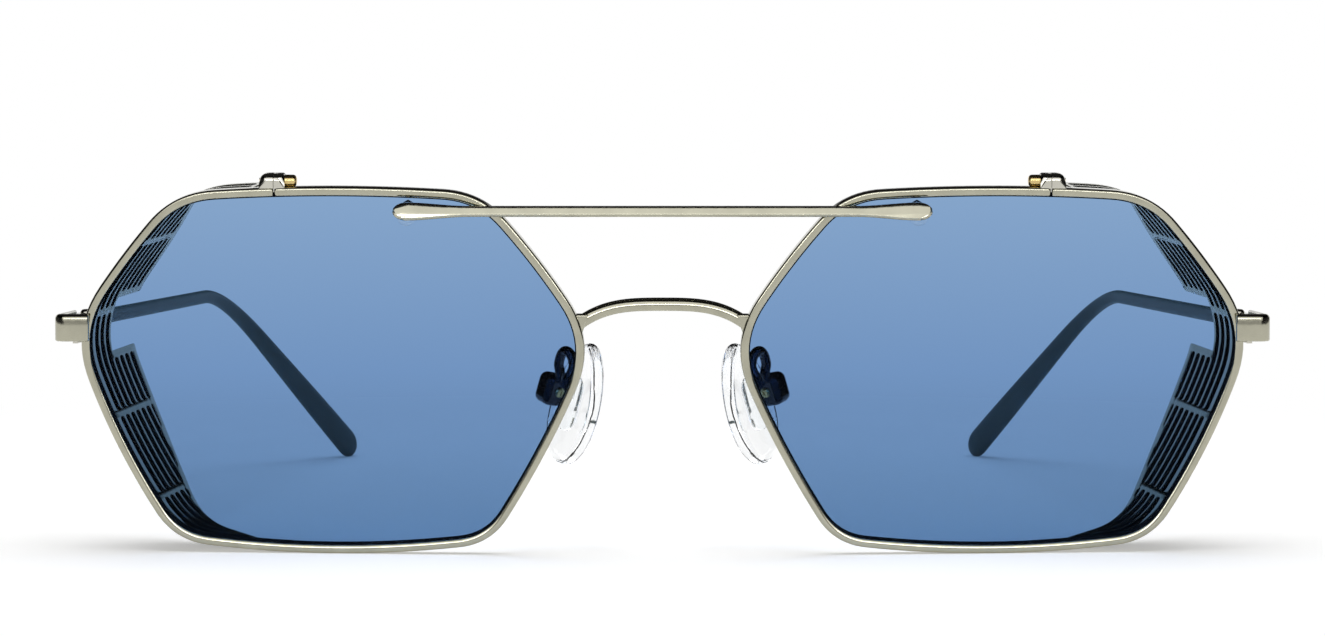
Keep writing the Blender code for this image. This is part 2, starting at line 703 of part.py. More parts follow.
def shield_mesh():
    """A sheet that carries on the rim's outline backwards, with rows of slots and a hinge notch."""
    notch = (shield_at_level(NOTCH_TOP), shield_at_level(NOTCH_BOTTOM))
    flaps = (
        (notch[0] - FLAP_BAR_WIDTH, notch[0]),
        (notch[1], notch[1] + FLAP_BAR_WIDTH),
    )
    bars = [(shield_at_level(level) - CROSSBAR_WIDTH / 2, shield_at_level(level) + CROSSBAR_WIDTH / 2)
            for level in CROSSBAR_LEVELS]
    bars.append((SHIELD_TOP_START, SHIELD_TOP_START + END_BAR_WIDTH))
    bars.append((shield_end - END_BAR_WIDTH, shield_end))
    middle = shield_at_level(NOTCH_BAR_LEVEL)
    notch_bar = (middle - CROSSBAR_WIDTH / 2, middle + CROSSBAR_WIDTH / 2)
    marks = [s for span in (*bars, *flaps, notch_bar) for s in span]
    for slot in range(SLOT_COUNT):
        for end in slot_ends(SLOT_BASE + slot * slot_pitch):
            if min(abs(end - s) for s in marks) > SEAT_GAP and min(marks) < end < max(marks):
                marks.append(end)
    marks.sort()
    columns = marks[:1]
    for s in marks[1:]:
        steps = max(1, math.ceil((s - columns[-1]) / COLUMN_LENGTH))
        start = columns[-1]
        columns += [start + (s - start) * i / steps for i in range(1, steps + 1)]
    lines = [0.0]
    for slot in range(SLOT_COUNT):
        lines += [SLOT_BASE + slot * slot_pitch, SLOT_BASE + slot * slot_pitch + SLOT_WIDTH]
    lines.append(shield_depth)

    def within(s, spans):
        return any(low < s < high for low, high in spans)

    def is_open(column, line):
        """True where the sheet is cut away between two columns and two lines."""
        s = (columns[column] + columns[column + 1]) / 2
        slot = (line - 1) // 2
        behind_notch = slot >= NOTCH_SLOTS
        if behind_notch and notch[0] < s < notch[1]:
            return True
        if line % 2 == 0 or within(s, bars):
            return False
        return not within(s, flaps if behind_notch else [notch_bar])

    bm = bmesh.new()
    across, along = len(columns) - 1, len(lines) - 1
    bmesh.ops.create_grid(bm, x_segments=across, y_segments=along, size=1.0)
    spots = {vert: (round((vert.co.x + 1) / 2 * across), round((vert.co.y + 1) / 2 * along))
             for vert in bm.verts}
    cut_away = []
    for face in bm.faces:
        column = min(spots[vert][0] for vert in face.verts)
        line = min(spots[vert][1] for vert in face.verts)
        if is_open(column, line):
            cut_away.append(face)
    for vert, (column, line) in spots.items():
        s = columns[column]
        rear = rear_depth(s)
        depth = rear if line == along else min(lines[line], rear - SHIELD_BORDER)
        base = shield_point(s)
        start = -RIM_DEPTH - SEAT_GAP - face_depth(base.x)
        vert.co = (base.x + SHIELD_SLOPE * depth, base.y, start - depth)
    bmesh.ops.delete(bm, geom=cut_away, context="FACES")
    bmesh.ops.remove_doubles(bm, verts=bm.verts, dist=0.00002)
    bmesh.ops.dissolve_degenerate(bm, edges=bm.edges, dist=0.00002)
    mesh = bpy.data.meshes.new("shield")
    bm.to_mesh(mesh)
    bm.free()
    obj = bpy.data.objects.new("shield", mesh)
    cutters.objects.link(obj)
    wall = obj.modifiers.new("wall", "SOLIDIFY")
    wall.thickness = SHEET
    wall.offset = 0.0
    wall.use_even_offset = True
    return evaluated(obj)


pair("side_shield", shield_mesh(), fronts, CHAMPAGNE)


# End pieces and hinges, in plan: x to the right, y to the back, level with the hinge

strip_inner = -KNUCKLE_RADIUS - SEAT_GAP
strip_outer = strip_inner - STRIP_THICKNESS
rim_outer_x = min(point.x for point in rim_outline())


def end_piece_mesh():
    """A strip that covers the rim's front, bends round its side and runs back to the hinge."""
    lip = rim_outer_x + LIP_COVER
    lean = (STRIP_HEIGHT / 2 + STRIP_LIFT) * math.sin(FRONT_TILT)
    back = face_depth(lip) * math.cos(FRONT_TILT) - lean - SEAT_GAP
    front = back - STRIP_THICKNESS
    outer, inner = HINGE_X + strip_outer, HINGE_X + strip_inner
    bend = max(BEND_RADIUS, STRIP_THICKNESS + SEAT_GAP)
    centre = (outer + bend, front + bend)
    outline = [(lip, front)]
    outline += arc(centre, bend, 270, 180, 6)
    outline += [(outer, HINGE_Y - SEAT_GAP), (inner, HINGE_Y - SEAT_GAP)]
    outline += arc(centre, bend - STRIP_THICKNESS, 180, 270, 6)
    outline.append((lip, back))
    return plate(outline, STRIP_HEIGHT, STRIP_EDGE)


lifted = Matrix.Translation((0, 0, STRIP_LIFT))
pair("end_piece", moved(end_piece_mesh(), lifted), sides, CHAMPAGNE)


def knuckle_plate(height, leaf_way):
    """A knuckle about the hinge axis with a leaf along the strip, in front (-1) or behind (1)."""
    r = KNUCKLE_RADIUS
    inside = -r + HINGE_LEAF_THICKNESS
    turn = math.degrees(math.acos(inside / r))
    outline = arc((0, 0), r, -180, turn, 14) + [(inside, HINGE_LEAF_LENGTH), (-r, HINGE_LEAF_LENGTH)]
    return plate([(x, leaf_way * y) for x, y in outline], height)


pin_bore = HINGE_SCREW_RADIUS + RUN_GAP
hinge_half = 1.5 * KNUCKLE_HEIGHT + RUN_GAP
gap_half = KNUCKLE_HEIGHT / 2 + RUN_GAP
sweep_radius = KNUCKLE_RADIUS + RUN_GAP

front_cut = turned((
    (0, -hinge_half * 2), (pin_bore, -hinge_half * 2), (pin_bore, -gap_half), (sweep_radius, -gap_half),
    (sweep_radius, gap_half), (pin_bore, gap_half), (pin_bore, hinge_half * 2), (0, hinge_half * 2),
))
front_hinge = combined(knuckle_plate(2 * hinge_half, -1), "DIFFERENCE", front_cut)
pair("front_hinge", front_hinge, hinges, BRIGHT_STEEL)

temple_bore = rod(pin_bore, -hinge_half, hinge_half)
temple_hinge = combined(knuckle_plate(KNUCKLE_HEIGHT, 1), "DIFFERENCE", temple_bore)
pair("temple_hinge", temple_hinge, temples, BRIGHT_STEEL)

screw_top = hinge_half + SEAT_GAP
hinge_screw = turned((
    (0, -hinge_half), (HINGE_SCREW_RADIUS, -hinge_half), (HINGE_SCREW_RADIUS, screw_top),
    (HINGE_HEAD_RADIUS, screw_top), (HINGE_HEAD_RADIUS, screw_top + HINGE_HEAD_HEIGHT / 2),
    (HINGE_HEAD_TOP_RADIUS, screw_top + HINGE_HEAD_HEIGHT), (0, screw_top + HINGE_HEAD_HEIGHT),
))
pair("hinge_screw", hinge_screw, hinges, BRIGHT_STEEL)


# Temples, from the hinge along their own +Y

strip_middle = (strip_inner + strip_outer) / 2
sleeve_level = (STRIP_HEIGHT - SLEEVE_HEIGHT) / 2


def box_ring(centre, side, up, width, height):
    """Eight points of a rectangle with cut corners, square to a path."""
    cut = min(width, height) * STRIP_CORNER
    w, h = width / 2, height / 2
    corners = (
        (w, -h + cut), (w, h - cut), (w - cut, h), (-w + cut, h),
        (-w, h - cut), (-w, -h + cut), (-w + cut, -h), (w - cut, -h),
    )
    return [centre + side * x + up * z for x, z in corners]


def straight_rings(steps):
    """Rings along the temple's straight start: length from the hinge, width, height and level."""
    side, up = Vector((1, 0, 0)), Vector((0, 0, 1))
    return [box_ring(Vector((strip_middle, y, level)), side, up, width, height)
            for y, width, height, level in steps]


arm_mesh = loft(straight_rings((
    (SEAT_GAP, STRIP_THICKNESS, STRIP_HEIGHT, 0),
    (HINGE_LEAF_LENGTH, STRIP_THICKNESS, STRIP_HEIGHT, 0),
    (HINGE_LEAF_LENGTH + ARM_TAPER, STRIP_THICKNESS, ARM_HEIGHT, sleeve_level),
    (SLEEVE_START - SEAT_GAP, STRIP_THICKNESS, ARM_HEIGHT, sleeve_level),
    (SLEEVE_START - SEAT_GAP, CORE_WIDTH, CORE_HEIGHT, sleeve_level),
    (SLEEVE_START + CORE_LENGTH, CORE_WIDTH, CORE_HEIGHT, sleeve_level),
)))
pair("temple_arm", arm_mesh, temples, SLATE)


def sleeve_mesh():
    """A sleeve that runs back, bends down and in behind the ear, and swells to a round-ended paddle."""
    start = Vector((strip_middle, SLEEVE_START, sleeve_level))
    corner = Vector((strip_middle, EAR_BEND_AT, sleeve_level))
    fall = Vector((
        math.cos(TIP_DROP) * math.sin(TIP_TOE_IN),
        math.cos(TIP_DROP) * math.cos(TIP_TOE_IN),
        -math.sin(TIP_DROP),
    ))
    bend_in = corner - Vector((0, EAR_BEND_CUT, 0))
    bend_out = corner + fall * EAR_BEND_CUT
    end = corner + fall * TIP_LENGTH
    straight_steps, bend_steps, tip_steps, round_steps = 4, 8, 7, 4
    path = [start.lerp(bend_in, i / straight_steps) for i in range(straight_steps)]
    path += [bezier(bend_in, corner, bend_out, i / bend_steps) for i in range(bend_steps)]
    round_length = PADDLE_HEIGHT / 2
    round_start = end - fall * round_length
    path += [bend_out.lerp(round_start, i / tip_steps) for i in range(tip_steps)]
    path += [round_start + fall * round_length * math.sin(math.pi / 2 * i / round_steps)
             for i in range(round_steps + 1)]
    rings = []
    for i, point in enumerate(path):
        way = (path[min(i + 1, len(path) - 1)] - path[max(i - 1, 0)]).normalized()
        side = way.cross(Vector((0, 0, 1))).normalized()
        up = side.cross(way)
        from_end = (end - point).length
        swell = eased(1 - from_end / PADDLE_LENGTH)
        inside = min(1.0, from_end / round_length)
        taper = max(TIP_END, math.sqrt(1 - (1 - inside) ** 2))
        height = (SLEEVE_HEIGHT + (PADDLE_HEIGHT - SLEEVE_HEIGHT) * swell) * taper
        width = (SLEEVE_WIDTH + (PADDLE_WIDTH - SLEEVE_WIDTH) * swell) * taper
        ring = []
        for step in range(SLEEVE_SIDES):
            angle = 2 * math.pi * step / SLEEVE_SIDES
            x = math.copysign(abs(math.cos(angle)) ** SLEEVE_SQUARING, math.cos(angle))
            z = math.copysign(abs(math.sin(angle)) ** SLEEVE_SQUARING, math.sin(angle))
            ring.append(point + side * x * width / 2 + up * z * height / 2)
        rings.append(ring)
    bore_width, bore_height = CORE_WIDTH + 2 * SEAT_GAP, CORE_HEIGHT + 2 * SEAT_GAP
    bore = loft(straight_rings((
        (SLEEVE_START - CORE_LENGTH, bore_width, bore_height, sleeve_level),
        (SLEEVE_START + CORE_LENGTH + SEAT_GAP, bore_width, bore_height, sleeve_level),
    )))
    return combined(loft(rings), "DIFFERENCE", bore)


pair("temple_tip", sleeve_mesh(), temples, SLATE)


# Nose pads in the frame of the pad axis: x towards the nose, y up along the pad, z along the screw

pad_back = PAD_OFFSET
plate_back = pad_back - PAD_PLATE_THICKNESS / 2


def pad_mesh():
    """A soft oval pad, crowned towards the nose, with a pocket for the plate in its back."""
    rings = []
    for height, share in PAD_CROWN:
        ring = []
        for step in range(PAD_SIDES):
            angle = 2 * math.pi * step / PAD_SIDES
            y = math.sin(angle) * PAD_LENGTH / 2 * share
            narrow = 1 + PAD_NARROWING * math.sin(angle)
            z = math.cos(angle) * PAD_WIDTH / 2 * share / narrow
            ring.append(Vector((pad_back + height * PAD_THICKNESS, y - PAD_BELOW_BOX, z)))
        rings.append(ring)
    pocket_size = (
        PAD_PLATE_THICKNESS + 2 * SEAT_GAP,
        PAD_PLATE_LENGTH + 2 * SEAT_GAP,
        PAD_PLATE_WIDTH + 2 * SEAT_GAP,
    )
    pocket = block(pocket_size, (plate_back + PAD_PLATE_THICKNESS / 2, -PAD_BELOW_BOX, 0))
    return combined(loft(rings), "DIFFERENCE", pocket)


lug_width = PAD_BOX_WIDTH - 2 * PAD_BOX_WALL - 2 * RUN_GAP
box_floor = -PAD_LUG_HEIGHT / 2 - RUN_GAP
box_back = box_floor - PAD_BOX_WALL


def pad_core_mesh():
    """The hard plate in the pad with the lug that the box holds, drilled for the screw."""
    plate_centre = (plate_back + PAD_PLATE_THICKNESS / 2, -PAD_BELOW_BOX, 0)
    base = block((PAD_PLATE_THICKNESS, PAD_PLATE_LENGTH, PAD_PLATE_WIDTH), plate_centre)
    lug_length = plate_back + PAD_PLATE_THICKNESS / 2
    lug = block((lug_length, PAD_LUG_HEIGHT - SEAT_GAP, lug_width), (lug_length / 2, 0, 0))
    eye = rod(PAD_LUG_HEIGHT / 2, -lug_width / 2 - SEAT_GAP / 2, lug_width / 2 + SEAT_GAP / 2)
    bore = rod(PAD_SCREW_RADIUS + RUN_GAP, -PAD_BOX_WIDTH, PAD_BOX_WIDTH, 12)
    return combined(combined(base, "UNION", lug, eye), "DIFFERENCE", bore)


pair("nose_pad", pad_mesh(), pads, CLEAR)
pair("pad_core", pad_core_mesh(), pads, CLEAR)

box_screw = turned((
    (0, -PAD_BOX_WIDTH / 2), (PAD_SCREW_RADIUS, -PAD_BOX_WIDTH / 2),
    (PAD_SCREW_RADIUS, PAD_BOX_WIDTH / 2 + SEAT_GAP), (PAD_HEAD_RADIUS, PAD_BOX_WIDTH / 2 + SEAT_GAP),
    (PAD_HEAD_RADIUS, PAD_BOX_WIDTH / 2 + SEAT_GAP + PAD_HEAD_LENGTH),
    (0, PAD_BOX_WIDTH / 2 + SEAT_GAP + PAD_HEAD_LENGTH),
), 12)
pair("pad_screw", box_screw, pads, SCREW_GOLD)


def pad_arm_mesh():
    """A wire that leaves the back of the rim, loops up and over, and ends on the pad's open box."""
    box_size = (PAD_BOX_DEPTH, PAD_BOX_LENGTH, PAD_BOX_WIDTH)
    box = block(box_size, (box_back + PAD_BOX_DEPTH / 2, 0, 0), PAD_BOX_WALL / 2)
    slot = block(
        (PAD_BOX_DEPTH, PAD_BOX_LENGTH + PAD_BOX_WALL, PAD_BOX_WIDTH - 2 * PAD_BOX_WALL),
        (box_floor + PAD_BOX_DEPTH / 2, 0, 0),
    )
    bore = rod(PAD_SCREW_RADIUS + SEAT_GAP, -PAD_BOX_WIDTH, PAD_BOX_WIDTH, 12)
    box = combined(box, "DIFFERENCE", slot, bore)
    place = Matrix.Translation(PAD_BOX) @ pad_turn
    moved(box, place)
    foot_line = [point for point in rim_outline(20, 20) if point.y < PAD_WIRE_FOOT_LEVEL]
    foot_x = max(point.x for point in foot_line) - RIM_WIDTH / 2
    foot = Vector((foot_x, PAD_WIRE_FOOT_LEVEL, -RIM_DEPTH - SEAT_GAP - face_depth(foot_x)))
    front_wall = Vector((box_floor / 2, PAD_BOX_LENGTH / 2, PAD_BOX_WIDTH / 2))
    on_wall = place @ front_wall
    end = place @ (front_wall - Vector((0, PAD_WIRE_RADIUS, 0)))
    rear_leg = Vector((-PAD_LOOP_LEG.x, PAD_LOOP_LEG.y, -PAD_LOOP_LEG.z))
    knots = (
        foot,
        foot + PAD_WIRE_START,
        PAD_LOOP_TOP + PAD_LOOP_LEG,
        PAD_LOOP_TOP,
        PAD_LOOP_TOP + rear_leg,
        on_wall,
        end,
    )
    curve = bpy.data.curves.new("wire", "CURVE")
    curve.dimensions = "3D"
    curve.bevel_depth = PAD_WIRE_RADIUS
    curve.bevel_resolution = 1
    curve.use_fill_caps = True
    curve.resolution_u = 3
    spline = curve.splines.new("BEZIER")
    spline.bezier_points.add(len(knots) - 1)
    for point, place_at in zip(spline.bezier_points, knots):
        point.co = place_at
        point.handle_left_type = "AUTO"
        point.handle_right_type = "AUTO"
    wire = bpy.data.objects.new("wire", curve)
    cutters.objects.link(wire)
    return combined(box, "UNION", evaluated(wire))


pair("pad_arm", pad_arm_mesh(), fronts, BRIGHT_STEEL)


# The origin lies under the middle of the open sunglasses, level with what they stand on

bpy.context.view_layer.update()
corners = []
for obj in parts.objects:
    if obj.type == "MESH":
        corners += [obj.matrix_world @ vert.co for vert in obj.data.vertices]
nearest = min(corner.y for corner in corners)
farthest = max(corner.y for corner in corners)
root.location = (0, -(nearest + farthest) / 2, -min(corner.z for corner in corners))
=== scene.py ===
import json
import math

import bmesh
import bpy
from mathutils import Matrix, Vector
from mathutils.geometry import intersect_line_line


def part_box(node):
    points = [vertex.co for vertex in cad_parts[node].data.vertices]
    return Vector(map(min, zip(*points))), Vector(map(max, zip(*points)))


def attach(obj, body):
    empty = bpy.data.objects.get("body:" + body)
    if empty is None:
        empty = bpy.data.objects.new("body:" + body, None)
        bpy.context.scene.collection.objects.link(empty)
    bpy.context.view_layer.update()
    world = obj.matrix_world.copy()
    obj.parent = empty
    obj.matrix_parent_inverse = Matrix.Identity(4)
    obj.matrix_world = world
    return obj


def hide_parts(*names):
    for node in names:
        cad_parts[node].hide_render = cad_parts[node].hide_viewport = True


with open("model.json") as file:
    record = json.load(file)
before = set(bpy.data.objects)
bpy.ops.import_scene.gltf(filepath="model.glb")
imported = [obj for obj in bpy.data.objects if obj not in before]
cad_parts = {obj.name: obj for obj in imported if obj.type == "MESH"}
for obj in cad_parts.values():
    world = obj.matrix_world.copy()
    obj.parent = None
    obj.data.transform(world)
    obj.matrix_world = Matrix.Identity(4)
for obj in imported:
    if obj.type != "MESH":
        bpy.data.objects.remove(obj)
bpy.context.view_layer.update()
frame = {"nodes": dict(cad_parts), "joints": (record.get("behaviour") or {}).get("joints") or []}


# Rims
# Each rim is one length of nickel wire with a champagne plating, bent to a soft hexagon. It is split on
# top, where it opens to take its lens. The front wraps a little round the face and leans by five degrees.

FRONT_TILT = math.radians(5.0)
FACE_RADIUS = 0.45
HINGE_FROM_FRONT = Vector((-0.0665, 0.0146, 0.0))
# Each corner has its x and y, the reach of its round, and the bow of the side that follows it.
RIM_CORNERS = (
    (-0.0545, 0.0154, 0.0045, 0.00070),
    (-0.0202, 0.0157, 0.0043, 0.00068),
    (-0.0075, -0.0012, 0.0058, 0.00072),
    (-0.0193, -0.0239, 0.0036, 0.00122),
    (-0.0552, -0.0241, 0.0039, 0.00113),
    (-0.0666, -0.0004, 0.0060, 0.00056),
)
SIDE_STEPS = 16
CORNER_STEPS = 12
RIM_WIDTH = 0.00096
RIM_DEPTH = 0.0022
RIM_ROUND = 0.00030
RIM_BEVEL = 0.00040
RIM_DIP = 0.00013
RIM_EDGE = 0.00012
SPLIT_X = -0.0433
SPLIT_WIDTH = 0.00014
SHARP_EDGE = math.radians(40)
CHAMPAGNE = (0.415, 0.403, 0.318)
MIRROR_X = Matrix.Scale(-1, 4, (1, 0, 0))

left_hinge = Vector(frame["joints"][0]["pos_m"])
front_place = Matrix.Translation(left_hinge - HINGE_FROM_FRONT)
stand_up = front_place @ Matrix.Rotation(math.pi / 2 + FRONT_TILT, 4, "X")


def new_finish(name):
    """A material with its node tree and its Principled shader."""
    made = bpy.data.materials.new(name)
    made.use_nodes = True
    return made, made.node_tree, made.node_tree.nodes["Principled BSDF"]


def feed(tree, node, inputs):
    """Inputs of a node set to constants, or linked to the outputs of other nodes."""
    for name, value in inputs.items():
        if isinstance(value, bpy.types.NodeSocket):
            tree.links.new(value, node.inputs[name])
        else:
            node.inputs[name].default_value = value


def new_node(tree, kind, inputs):
    """A node of a kind with its inputs fed."""
    made = tree.nodes.new("ShaderNode" + kind)
    feed(tree, made, inputs)
    return made


def pattern(tree, scale, stretch=(1, 1, 1), detail=3.0):
    """A noise on Object coordinates, stretched along the axes."""
    place = new_node(tree, "TexCoord", {}).outputs["Object"]
    mapping = new_node(tree, "Mapping", {"Vector": place, "Scale": stretch}).outputs["Vector"]
    return new_node(tree, "TexNoise", {"Vector": mapping, "Scale": scale, "Detail": detail}).outputs["Fac"]


def between(tree, factor, low, high, start=0.3, end=0.7, easing="LINEAR"):
    """A value from low to high as the factor goes from start to end."""
    inputs = {"Value": factor, "From Min": start, "From Max": end, "To Min": low, "To Max": high}
    spread = new_node(tree, "MapRange", inputs)
    spread.interpolation_type = easing
    return spread.outputs["Result"]


def tones(tree, factor, *stops):
    """A colour that runs through stops, each a place from 0 to 1 and a colour."""
    ramp = new_node(tree, "ValToRGB", {"Fac": factor})
    while len(ramp.color_ramp.elements) < len(stops):
        ramp.color_ramp.elements.new(0.5)
    for element, (place, colour) in zip(ramp.color_ramp.elements, stops):
        element.position = place
        element.color = (*colour, 1.0)
    return ramp.outputs["Color"]


def toned(colour, share):
    """A colour made darker or lighter."""
    return tuple(min(1.0, part * share) for part in colour)


def clouded(tree, shader, factor, dark, light):
    """A base colour that drifts between two tones."""
    feed(tree, shader, {"Base Color": tones(tree, factor, (0.3, dark), (0.7, light))})


def skin(tree, shader, factor, gloss, depth, strength=0.4):
    """A roughness that drifts between two values, and a bump of a depth in metres."""
    bump = new_node(tree, "Bump", {"Height": factor, "Strength": strength, "Distance": depth})
    feed(tree, shader, {"Roughness": between(tree, factor, *gloss), "Normal": bump.outputs["Normal"]})


def plated_metal(name, colour, gloss=(0.07, 0.13)):
    """Plated metal with faint clouds in its colour and fine polishing marks."""
    made, tree, shader = new_finish(name)
    feed(tree, shader, {"Metallic": 1.0})
    clouded(tree, shader, pattern(tree, scale=420.0), toned(colour, 0.92), toned(colour, 1.06))
    marks = pattern(tree, scale=2600.0, stretch=(1.0, 1.0, 5.0), detail=5.0)
    skin(tree, shader, marks, gloss, depth=0.000002, strength=0.25)
    return made


def placed(name, data):
    """An object from its data, put into the scene."""
    made = bpy.data.objects.new(name, data)
    bpy.context.scene.collection.objects.link(made)
    return made


def piece(name, mesh, finish, slot, body, *nodes):
    """An object from a mesh in place, riding on its body and standing for its CAD nodes."""
    mesh.materials.append(finish)
    made = placed(name, mesh)
    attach(made, body)
    if nodes:
        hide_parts(*nodes)
    return made


def finished(bm):
    """A mesh from a bmesh, merged, with its faces pointing out and its hard edges kept."""
    bmesh.ops.remove_doubles(bm, verts=bm.verts, dist=1e-7)
    bmesh.ops.recalc_face_normals(bm, faces=bm.faces)
    mesh = bpy.data.meshes.new("mesh")
    bm.to_mesh(mesh)
    bm.free()
    mesh.shade_smooth()
    mesh.set_sharp_from_angle(angle=SHARP_EDGE)
    return mesh


def both_sides(name, bm, finish, slot, body, *nodes, shadow=True):
    """The left piece from a bmesh in place, and its mirror image on the right."""
    left = finished(bm)
    right = left.copy()
    right.transform(MIRROR_X)
    right.flip_normals()
    made = []
    for side, mesh in (("left", left), ("right", right)):
        stands_for = [f"{node}_{side}" for node in nodes]
        made.append(piece(f"{name}_{side}", mesh, finish, slot, body.format(side=side), *stands_for))
        made[-1].visible_shadow = shadow
    return made


def shares(count):
    """Even steps from 0 up to just before 1."""
    return [i / count for i in range(count)]


def curve_point(start, handle, end, t):
    """A point on the curve from start to end that is drawn towards a handle."""
    return start * (1 - t) ** 2 + handle * 2 * t * (1 - t) + end * t ** 2


def flat_face(points):
    """A bmesh with one face through points."""
    bm = bmesh.new()
    bm.faces.new([bm.verts.new(point) for point in points])
    bm.normal_update()
    return bm


def hexagon():
    """The left rim's outer outline as one flat face, with bowed sides and round corners."""
    sides = []
    for corner, following in zip(RIM_CORNERS, RIM_CORNERS[1:] + RIM_CORNERS[:1]):
        start = Vector((*corner[:2], 0))
        end = Vector((*following[:2], 0))
        way = end - start
        outward = Vector((-way.y, way.x, 0)).normalized()
        handle = (start + end) / 2 + outward * 2 * corner[3]
        first = corner[2] / way.length
        last = 1 - following[2] / way.length
        steps = [first + (last - first) * i / SIDE_STEPS for i in range(SIDE_STEPS + 1)]
        sides.append([curve_point(start, handle, end, t) for t in steps])
    outline = []
    for side, following in zip(sides, sides[1:] + sides[:1]):
        handle = intersect_line_line(side[-2], side[-1], following[0], following[1])[0]
        outline += side
        outline += [curve_point(side[-1], handle, following[0], t) for t in shares(CORNER_STEPS)[1:]]
    return flat_face(outline)


def inset_hexagon(distance):
    """The same outline drawn in by a distance, and the ring of faces outside it."""
    bm = hexagon()
    made = bmesh.ops.inset_region(bm, faces=bm.faces[:], thickness=distance, use_boundary=True,
                                  use_even_offset=True)
    return bm, made["faces"]


def push(bm, faces, way):
    """Faces pushed along a way, with new walls round them."""
    made = bmesh.ops.extrude_face_region(bm, geom=faces)
    pushed = [item for item in made["geom"] if isinstance(item, bmesh.types.BMVert)]
    bmesh.ops.translate(bm, verts=pushed, vec=way)


def thicken(bm, depth):
    """Flat faces pushed back by a depth to a closed body."""
    push(bm, bm.faces[:], (0, 0, -depth))
    bmesh.ops.recalc_face_normals(bm, faces=bm.faces)


def bevelled(bm, edges, radius, segments, clamp=False, affect="EDGES"):
    """Given edges of a body rounded, or its corners."""
    bmesh.ops.bevel(bm, geom=edges, offset=radius, affect=affect, segments=segments, profile=0.5,
                    material=-1, clamp_overlap=clamp)


def round_edges(bm, radius, segments=3, angle=math.radians(50), chosen=lambda edge: True, clamp=True):
    """The hard edges of a body rounded, all of them or the chosen ones."""
    hard = [edge for edge in bm.edges
            if len(edge.link_faces) == 2 and edge.calc_face_angle() > angle and chosen(edge)]
    bevelled(bm, hard, radius, segments, clamp)


def moved(bm, matrix):
    """A whole body taken through a matrix."""
    bmesh.ops.transform(bm, matrix=matrix, verts=bm.verts)


def cut_at(bm, x, faces):
    """Faces of a body cut through at x, with both parts kept."""
    around = {item for face in faces for item in (*face.verts, *face.edges)}
    bmesh.ops.bisect_plane(bm, geom=[*faces, *around], plane_co=(x, 0, 0), plane_no=(1, 0, 0))


def wrap_and_stand(bm):
    """The flat front drawn round the face, then stood up in its place."""
    for vert in bm.verts:
        vert.co.z -= vert.co.x ** 2 / (2 * FACE_RADIUS)
    moved(bm, stand_up)


champagne = plated_metal("champagne_plating", CHAMPAGNE)


def faces_outwards(edge):
    """True for the edges of the rim's outer wall."""
    rim_middle = sum((Vector((*corner[:2], 0)) for corner in RIM_CORNERS), Vector()) / len(RIM_CORNERS)
    from_middle = (edge.verts[0].co + edge.verts[1].co) / 2 - rim_middle
    return any(abs(face.normal.z) < 0.1 and face.normal.dot(from_middle) > 0 for face in edge.link_faces)


rim, outer_ring = inset_hexagon(RIM_WIDTH - RIM_BEVEL)
lens_opening = [face for face in rim.faces if face not in outer_ring]
bmesh.ops.inset_region(rim, faces=lens_opening, thickness=RIM_BEVEL, depth=RIM_DIP, use_even_offset=True)
bmesh.ops.delete(rim, geom=lens_opening, context="FACES")
for split_side in (-SPLIT_WIDTH / 2, SPLIT_WIDTH / 2):
    cut_at(rim, SPLIT_X + split_side, rim.faces[:])
centres = {face: face.calc_center_median() for face in rim.faces}
in_split = [face for face, at in centres.items() if abs(at.x - SPLIT_X) < SPLIT_WIDTH / 2 and at.y > 0]
bmesh.ops.delete(rim, geom=in_split, context="FACES")
thicken(rim, RIM_DEPTH)
for vert in rim.verts:
    vert.co.z = max(vert.co.z, -RIM_DEPTH)
round_edges(rim, RIM_ROUND, 5, chosen=faces_outwards, clamp=False)
round_edges(rim, RIM_EDGE, 3, clamp=False)
wrap_and_stand(rim)
both_sides("rim_wire", rim, champagne, "rim_metal", "front", "rim")


# Lenses
# Each lens is cut from a sheet of blue tinted polycarbonate with a hard gloss coat, a little paler at the
# top. Its edge sits in the groove of its rim. A thin black ring round the edge is painted shade for the
# groove.

LENS_THICKNESS = 0.0016
LENS_SEAT = 0.0003
LENS_STRIP = 0.0015
# The thin black ring round each lens edge is painted shade, standing in for the dark groove of the rim.
GROOVE_SHADE_SHOWING = 0.00010
GROOVE_SHADE_LIP = 0.00004
GROOVE_SHADE_BLACK = (0.006, 0.007, 0.009)
LENS_PALE = (0.235, 0.376, 0.592)
LENS_MIDDLE = (0.165, 0.294, 0.529)
LENS_DEEP = (0.094, 0.186, 0.342)
LENS_REFRACTION = 1.10

lens_sink = (RIM_DEPTH - LENS_THICKNESS) / 2


def dull_black(name, colour, lift, gloss, scale, detail):
    """A black without shine, uneven in its tone by a lift, and finely pitted, for enamel and painted shade.
    """
    made, tree, shader = new_finish(name)
    pits = pattern(tree, scale, detail=detail)
    clouded(tree, shader, pits, colour, toned(colour, lift))
    skin(tree, shader, pits, gloss, depth=0.00001)
    feed(tree, shader, {"Specular IOR Level": 0.0})
    return made


def tinted_lens(name, low, high):
    """A clear tint that runs from deep at a low height to pale at a high one."""
    made, tree, shader = new_finish(name)
    place = new_node(tree, "TexCoord", {}).outputs["Object"]
    height = new_node(tree, "SeparateXYZ", {"Vector": place}).outputs["Z"]
    level = between(tree, height, 0.0, 1.0, low, high)
    tint = tones(tree, level, (0.0, LENS_DEEP), (0.5, LENS_MIDDLE), (1.0, LENS_PALE))
    feed(tree, shader, {"Base Color": tint, "Transmission Weight": 1.0, "IOR": LENS_REFRACTION})
    skin(tree, shader, pattern(tree, scale=90.0), gloss=(0.0, 0.008), depth=0.0000005)
    return made


def lens_blank():
    """The flat outline of a lens with the edge that sits in the rim."""
    bm, ring = inset_hexagon(RIM_WIDTH - LENS_SEAT)
    bmesh.ops.delete(bm, geom=ring, context="FACES")
    return bm


